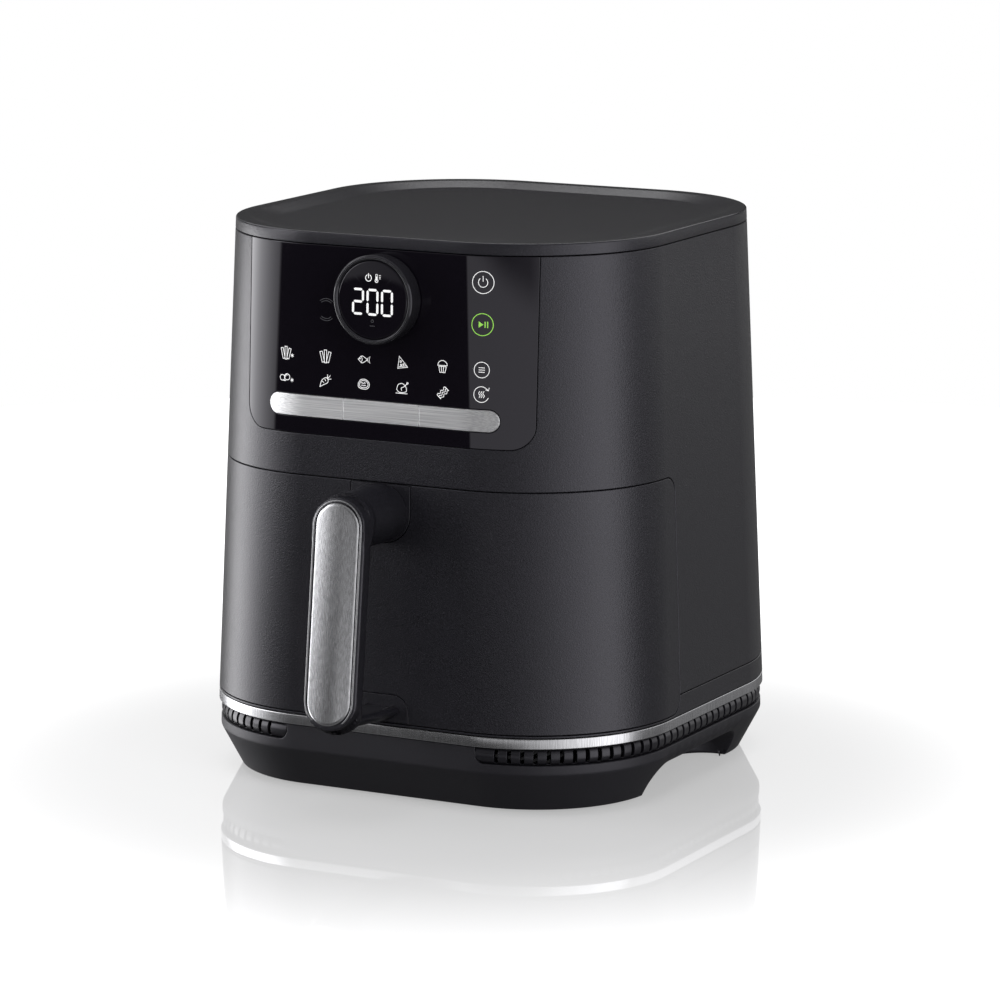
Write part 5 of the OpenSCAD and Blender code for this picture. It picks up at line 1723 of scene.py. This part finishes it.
class FRYER_OT_handle(FryerOperator, Operator):
    """Makes the handle with its brushed inlay"""

    bl_idname = "fryer.handle"
    bl_label = "Handle"

    def build(self):
        h, b, skin = handle_sizes(), body_sizes(), Skin()
        y0, y1 = (
            -float(skin.half_depth(z)) - reach for z, reach in ((h.low, h.reach_low), (h.high, h.reach_high))
        )
        self.skin, self.r, self.t = skin, h.width / 2, h.thickness
        self.lean = math.atan2(y1 - y0, h.high - h.low)
        self.length = math.hypot(y1 - y0, h.high - h.low)
        self.middle = ((y0 + y1) / 2, (h.low + h.high) / 2)
        self.low, self.top = b.drawer_low, b.drawer_high
        front = -float(skin.half_depth(self.top)) + 1.6
        start, stop = (-self.r - 4, y0 - 3, h.low - 8), (self.r + 4, front + 5, h.high + 4)
        body = skinned("handle_body", self.field, start, stop, h.cell, paint())
        parts = [body, self.bezel()] + self.pads()
        place_on("drawer", joined("handle_body", parts), "anthracite", "handle")
        place_on("drawer", self.inlay(), "brushed_metal", "handle_inlay")

    def local(self, y, z):
        """Distance along the grip from its middle, and out from its face."""
        dy, dz = y - self.middle[0], z - self.middle[1]
        c, s = math.cos(self.lean), math.sin(self.lean)
        return dy * s + dz * c, -dy * c + dz * s

    def field(self, x, y, z):
        """Less than zero inside the grip and its two arms."""
        h = handle_sizes()
        along, out = self.local(y, z)
        r, half = self.r, self.length / 2 - self.r
        stadium = np.hypot(x, np.maximum(np.abs(along) - half, 0)) - r
        # the face edge stays crisp under the bezel, the rear edge is rounded
        rear = -(out + self.t)
        grip = trimmed(trimmed(stadium, rear, 2.6), out + 1.3, 1.5)
        upper_root, lower_root = (-float(self.skin.half_depth(v)) for v in (self.top, self.low))
        arm = r - ARM_INSET
        # the upper arm narrows from the drawer to the grip's rear
        y_grip = self.middle[0] + half * math.sin(self.lean) + self.t * 0.7
        t = np.clip((y - y_grip) / (upper_root - y_grip), 0, 1.1)
        z_grip = self.middle[1] + half * math.cos(self.lean) + self.t * math.sin(self.lean)
        centre, radius = z_grip + (self.top - UPPER_ROOT - z_grip) * t, arm + 1.8 * np.clip(t * 1.6, 0, 1)
        upper = np.maximum(np.hypot(x, z - centre) - radius, out + ARM_BEHIND)
        upper = np.maximum(upper, y - (upper_root + ROOT_DEPTH))
        # the lower arm is a trough under a flat roof
        s = np.clip((y - (self.middle[0] - 7)) / (lower_root - self.middle[0] + 7), 0, 1.05)
        floor = self.middle[1] - self.length / 2 * math.cos(self.lean)
        z_low = floor + (self.low + 0.4 - floor) * s
        roof = LOWER_ROOF[0] + (LOWER_ROOF[1] - LOWER_ROOF[0]) * s
        width = arm + 2.65 * s
        bottom = np.hypot(x, np.minimum(z - z_low - width, 0)) - width
        lower = trimmed(np.maximum(bottom, out + ARM_BEHIND), z - roof, 4.5)
        lower = np.maximum(lower, y - (lower_root + ROOT_DEPTH))
        whole = fused(fused(grip, upper, h.fillet), lower, h.fillet * 1.6)
        # the fillets stay inside the grip's and the arms' own outline, seen from the front
        arms = np.hypot(x, np.maximum(z - centre, 0)) - r - 0.05 - 0.9 * np.maximum(t, 0)
        return np.maximum(whole, np.where(out > -0.7 * self.t, stadium, arms))

    def ring(self, inset, out, count=22):
        """One stadium-shaped ring of the grip, moved in and out from its face."""
        r, half = self.r - inset, self.length / 2 - self.r
        c, s = math.cos(self.lean), math.sin(self.lean)
        flat = arc(0, half, r, 0, 180, count) + arc(0, -half, r, 180, 360, count)
        rise = out if callable(out) else lambda x: out
        return [
            (x, self.middle[0] + v * s - rise(x) * c, self.middle[1] + v * c + rise(x) * s) for x, v in flat
        ]

    def bezel(self):
        """Light trim ring, and the dark groove floor between it and the inlay."""
        edge = handle_sizes().border
        satin = plain_metal("Satin Trim", (0.38, 0.38, 0.395), 0.32)
        parts = []
        inner, outer = edge - 0.65, 1.2
        trim = [(inner, -2.2), (outer, -2.2), (outer, -0.1), (inner, -0.1), (inner, -2.2)]
        inner, outer = edge - 0.6, edge + 0.5
        floor = [(inner, -2.0), (inner, -1.0), (outer, -1.0), (outer, -2.0), (inner, -2.0)]
        for name, profile, radius, material in (
            ("trim", trim, 0.35, satin), ("groove", floor, 0.1, dark_plastic())
        ):
            rings = [self.ring(a, b) for a, b in bend(profile, radius, 5)[:-1]]
            parts.append(outward(loft(name, rings, material, 32, loop=True), 32))
        return joined("bezel", parts)

    def inlay(self):
        edge = handle_sizes().border
        flat, half, crown = edge + 0.9, self.r - edge, 0.03
        profile = [
            (edge + 0.35, -1.2), (edge + 0.05, -1.2), (edge + 0.05, -0.35), (edge + 0.75, -0.02),
            (flat, crown)
        ]
        smooth = [profile[0]] + bend(profile, 0.2, 4)[1:]
        smooth += [(flat + (half - 0.95) * k, crown) for k in np.linspace(0, 1, 14)[1:]]

        # bent across only, so that its brushed lines run straight to both ends
        def bowed(out):
            return out if out < -1 else lambda x: out + INLAY_BOW * (1 - min(1, x / half) ** 2)

        rings = [self.ring(a, bowed(out)) for a, out in smooth]
        return outward(loft("handle_inlay_plate", rings, brushed("Z"), 30), 30)

    def pads(self):
        """The two flush root pads let into the drawer's front."""
        out = []
        for k, pad in enumerate(root_pads(0)):
            low, high = (end(z for _, z in pad) for end in (min, max))
            levels = np.linspace(low, high, 9)[1:-1]
            grid = [(x, z) for x in np.linspace(-17, 17, 9) for z in levels]
            out.append(
                moulded(f"root_pad_{k}", [pad], self.skin.point, 2.0, paint(), 0.3, grid, self.skin.normal, 3)
            )
        return out


# ---- stage


CAMERA_PLACE, CAMERA_TARGET = (27.78, 11.18, 2.7782), (0, CENTRE_Y, 0.1291)
CAMERA_LENS, CAMERA_SHIFT = 173.87, (0.00705, 0.03273)
FLOOR_RINGS, FLOOR_TURNS = (0.05, 0.3, 0.6, 0.9, 1.25), 64
# azimuth, elevation, distance, width, height and power of each lamp
LAMPS = {
    "lamp_left": (-70, 18, 2.2, 1.2, 1.8, 26),
    "lamp_right": (60, 20, 2.4, 1.2, 1.8, 24),
    "lamp_above": (10, 80, 2.0, 1.8, 1.6, 24),
}
LAMP_TARGET = (0, CENTRE_Y, 0.16)
# first and last direction, low and high edge, and glow of each dim sheet behind the object
SHEETS_BEHIND = (
    (140, 300, 0.29, 0.335, 0.12), (140, 228, 0.335, 0.55, 0.07), (228, 300, 0.335, 0.55, 0.2),
    (140, 300, 0.55, 1.0, 1.1),
)
SHEETS_FLAT = (("sheet_above", 1850, 0.3), ("sheet_below", -1390, 0.15))
SHEET_DISTANCE, SURROUND_DISTANCE, SURROUND_PEAK = 0.62, 3, 5.0
SURROUND_TURNS, HIGH_PART, SURROUND_LEVELS = 73, (12, 58), (-1.4, 0.1, 1.9)
# the surround's glow at directions round the object in degrees, from the front to the right: the back and
# the bright screen on the left, the right, and between them a row for each height
GLOW_LEFT = (
    (-180, 0.18), (-150, 0.2), (-126, 0.25), (-115, 0.3), (-107, 1.2), (-99, 4.9), (-90, 5.0), (-79, 3.2)
)
GLOW_RIGHT = ((44, 0.95), (60, 1.4), (84, 2.2), (97, 2.2), (106, 0.22), (138, 0.18), (150, 0.28), (180, 0.18))
GLOW_LOW = ((-68, 1.4), (-58, 0.75), (-48, 0.25), (-30, 0.05), (-6, 0.05), (14, 0.18))
GLOW_HIGH = ((-66, 1.9), (-56.6, 1.1), (-56, 0.03), (-18, 0.03), (-17.4, 0.85))
GLOW_OVER = (
    (-66, 5.0), (-57, 4.6), (-49, 3.2), (-41, 1.4), (-33, 0.55), (-22, 0.26), (-8, 0.15), (10, 0.15),
    (30, 0.3)
)


def direction(azimuth, elevation):
    """Unit vector to a place round the object, in degrees from the front to the right and up."""
    a, e = math.radians(azimuth), math.radians(elevation)
    return Vector((math.sin(a) * math.cos(e), -math.cos(a) * math.cos(e), math.sin(e)))


def curved_sheet(name, distance, turns, levels, starts):
    """Upright sheet round the object through some directions, at a distance and heights in metres."""
    points = [(distance * math.sin(a), -distance * math.cos(a), z) for z in levels for a in turns]
    return new_object(name, np.array(points) / MM, quads(starts, len(turns)), None, 0)


class FRYER_OT_stage(FryerOperator, Operator):
    """Sets the floor, lamps, world and camera"""

    bl_idname = "fryer.stage"
    bl_label = "Stage"

    def build(self):
        self.camera()
        self.world()
        self.floor()
        self.surround()
        self.shield()
        for name, numbers in LAMPS.items():
            self.lamp(name, *numbers)
        bpy.context.scene.view_settings.view_transform = "Standard"

    def camera(self):
        data = bpy.data.cameras.new("Camera")
        camera = linked("Camera", data)
        azimuth, elevation, distance = CAMERA_PLACE
        away = direction(azimuth, elevation)
        camera.location = Vector(CAMERA_TARGET) + away * distance
        camera.rotation_euler = (-away).to_track_quat("-Z", "Y").to_euler()
        data.lens, data.sensor_width = CAMERA_LENS, 36
        data.shift_x, data.shift_y = CAMERA_SHIFT
        data.clip_start, data.clip_end = 0.1, 50
        bpy.context.scene.camera = camera

    def world(self):
        world = bpy.data.worlds.new("Studio")
        bpy.context.scene.world = world
        world.use_nodes = True
        tree = world.node_tree
        level = spread(tree, seen_ray(tree), 0.0, 1.0, 0.4)
        feed(tree.nodes["Background"], {"Color": (1, 1, 1, 1), "Strength": level})

    def floor(self):
        """A round white table top whose rim melts into the background."""
        n = FLOOR_TURNS
        turns = np.linspace(0, 2 * math.pi, n, endpoint=False)
        points = [(r * math.cos(a), r * math.sin(a), 0) for r in FLOOR_RINGS for a in turns]
        faces = [list(range(n))]
        for k in range(len(FLOOR_RINGS) - 1):
            a, b = k * n, k * n + n
            faces += [[a + i, b + i, b + (i + 1) % n, a + (i + 1) % n] for i in range(n)]
        obj = new_object("floor", np.array(points) / MM, faces, None, 0)
        material = bpy.data.materials.new("Glossy White Floor")
        material.use_nodes = True
        tree = material.node_tree
        place = tree.nodes.new("ShaderNodeTexCoord").outputs["Object"]
        far = added(tree, "ShaderNodeVectorMath", {0: place}, operation="LENGTH").outputs["Value"]
        fade = spread(tree, far, 0.2, 0.5, 0.41, 1.0, "SMOOTHSTEP")
        feed(tree.nodes["Principled BSDF"], {
            "Base Color": (0.3, 0.3, 0.304, 1), "Roughness": 0.015, "Specular IOR Level": 0.6,
            "Emission Color": (1, 1, 1, 1),
            "Emission Strength": maths(tree, "MULTIPLY", fade, seen_ray(tree)),
        })
        obj.data.materials.append(material)
        obj.visible_glossy = False

    def surround(self):
        """What the gloss shows all round: bright on the left, dark in front and dim on the right."""
        turns = np.linspace(-math.pi, math.pi, SURROUND_TURNS)
        # over the table's level the back stays open to the white room
        starts = [*range(SURROUND_TURNS - 1), *(SURROUND_TURNS + k for k in range(*HIGH_PART))]
        obj = curved_sheet("surround", SURROUND_DISTANCE, turns, SURROUND_LEVELS, starts)
        tree = self.unlit(obj, SURROUND_PEAK).node_tree
        place = tree.nodes.new("ShaderNodeTexCoord").outputs["Object"]
        parts = added(tree, "ShaderNodeSeparateXYZ", {0: place}).outputs
        turn = maths(tree, "ARCTAN2", parts["X"], maths(tree, "MULTIPLY", parts["Y"], -1.0))
        share = maths(tree, "MULTIPLY_ADD", turn, 1 / (2 * math.pi), 0.5)
        shown, high, over = (
            self.glow(tree, share, GLOW_LEFT + row + GLOW_RIGHT) for row in (GLOW_LOW, GLOW_HIGH, GLOW_OVER)
        )
        for glow, start, stop in ((high, -0.3, -0.17), (over, 0.08, 0.14)):
            lift = spread(tree, parts["Z"], start, stop, how="SMOOTHSTEP")
            mix = added(tree, "ShaderNodeMix", {}, data_type="RGBA")
            shown = feed(mix, {"Factor": lift, 6: shown, 7: glow}).outputs[2]
        feed(tree.nodes["Emission"], {"Color": shown})

    def glow(self, tree, share, stops):
        """A colour ramp over the whole turn."""
        ramp = added(tree, "ShaderNodeValToRGB", {0: share})
        elements = ramp.color_ramp.elements
        for turn, _ in stops[1:-1]:
            elements.new((turn + 180) / 360)
        for element, (_, glow) in zip(elements, stops):
            element.color = (*(glow / SURROUND_PEAK,) * 3, 1)
        return ramp

    def unlit(self, obj, strength):
        """Gives a card its own glow, and hides the card from all but the gloss."""
        material = bpy.data.materials.new(obj.name)
        material.use_nodes = True
        tree = material.node_tree
        tree.nodes.clear()
        light = added(tree, "ShaderNodeEmission", {"Strength": strength})
        added(tree, "ShaderNodeOutputMaterial", {0: light})
        obj.data.materials.append(material)
        obj.visible_camera = obj.visible_diffuse = obj.visible_shadow = obj.visible_transmission = False
        return material

    def shield(self):
        """Dim sheets behind, over and under the object, which its top and its tapered foot mirror."""
        for k, (start, stop, low, high, glow) in enumerate(SHEETS_BEHIND):
            turns = np.radians(np.linspace(start, stop, 13))
            self.unlit(curved_sheet(f"sheet_behind_{k}", SHEET_DISTANCE, turns, (low, high), range(12)), glow)
        for name, level, glow in SHEETS_FLAT:
            corners = [(x * 3000, y * 3000, level) for x, y in ((-1, -1), (-1, 1), (1, 1), (1, -1))]
            self.unlit(new_object(name, corners, [(0, 1, 2, 3)], None, 0), glow)

    def lamp(self, name, azimuth, elevation, distance, width, height, power):
        data = bpy.data.lights.new(name, "AREA")
        data.shape, data.size, data.size_y, data.energy = "RECTANGLE", width, height, power
        obj = linked(name, data)
        away = direction(azimuth, elevation)
        obj.location = Vector(LAMP_TARGET) + away * distance
        obj.rotation_euler = away.to_track_quat("Z", "Y").to_euler()
        obj.visible_glossy = False


def seen_ray(tree):
    """One for rays of the camera and for what gloss and glass show, else zero."""
    rays = tree.nodes.new("ShaderNodeLightPath").outputs
    gloss = maths(tree, "MAXIMUM", rays["Is Camera Ray"], rays["Is Glossy Ray"])
    return maths(tree, "MAXIMUM", gloss, rays["Is Transmission Ray"])


# ---- panel and run


GROUPS = {
    "fryer_body": FryerBodySizes,
    "fryer_panel": FryerPanelSizes,
    "fryer_handle": FryerHandleSizes,
    "fryer_base": FryerBaseSizes,
    "fryer_finishes": FryerFinishes,
}

STEPS = (
    FRYER_OT_stage, FRYER_OT_upper_housing, FRYER_OT_lower_housing, FRYER_OT_drawer_front, FRYER_OT_top_cover,
    FRYER_OT_metal_band, FRYER_OT_base, FRYER_OT_grilles, FRYER_OT_back, FRYER_OT_underside, FRYER_OT_panel,
    FRYER_OT_symbols, FRYER_OT_dial, FRYER_OT_handle, FRYER_OT_carried,
)


class FRYER_PT_sidebar(Panel):
    """Lists the dresser's steps and sizes"""

    bl_label = "Air Fryer"
    bl_idname = "FRYER_PT_sidebar"
    bl_space_type = "VIEW_3D"
    bl_region_type = "UI"
    bl_category = "Air Fryer"

    def draw(self, context):
        for step in STEPS:
            self.layout.operator(step.bl_idname)
        for name, group in GROUPS.items():
            box = self.layout.box()
            for prop in group.__annotations__:
                box.prop(getattr(context.scene, name), prop)


def register():
    for group in GROUPS.values():
        bpy.utils.register_class(group)
    for step in STEPS:
        bpy.utils.register_class(step)
    bpy.utils.register_class(FRYER_PT_sidebar)
    for name, group in GROUPS.items():
        setattr(bpy.types.Scene, name, PointerProperty(type=group))


def unregister():
    for name in GROUPS:
        delattr(bpy.types.Scene, name)
    bpy.utils.unregister_class(FRYER_PT_sidebar)
    for step in reversed(STEPS):
        bpy.utils.unregister_class(step)
    for group in reversed(GROUPS.values()):
        bpy.utils.unregister_class(group)


def main():
    register()
    for step in STEPS:
        group, name = step.bl_idname.split(".")
        getattr(getattr(bpy.ops, group), name)()


if __name__ == "__main__":
    main()
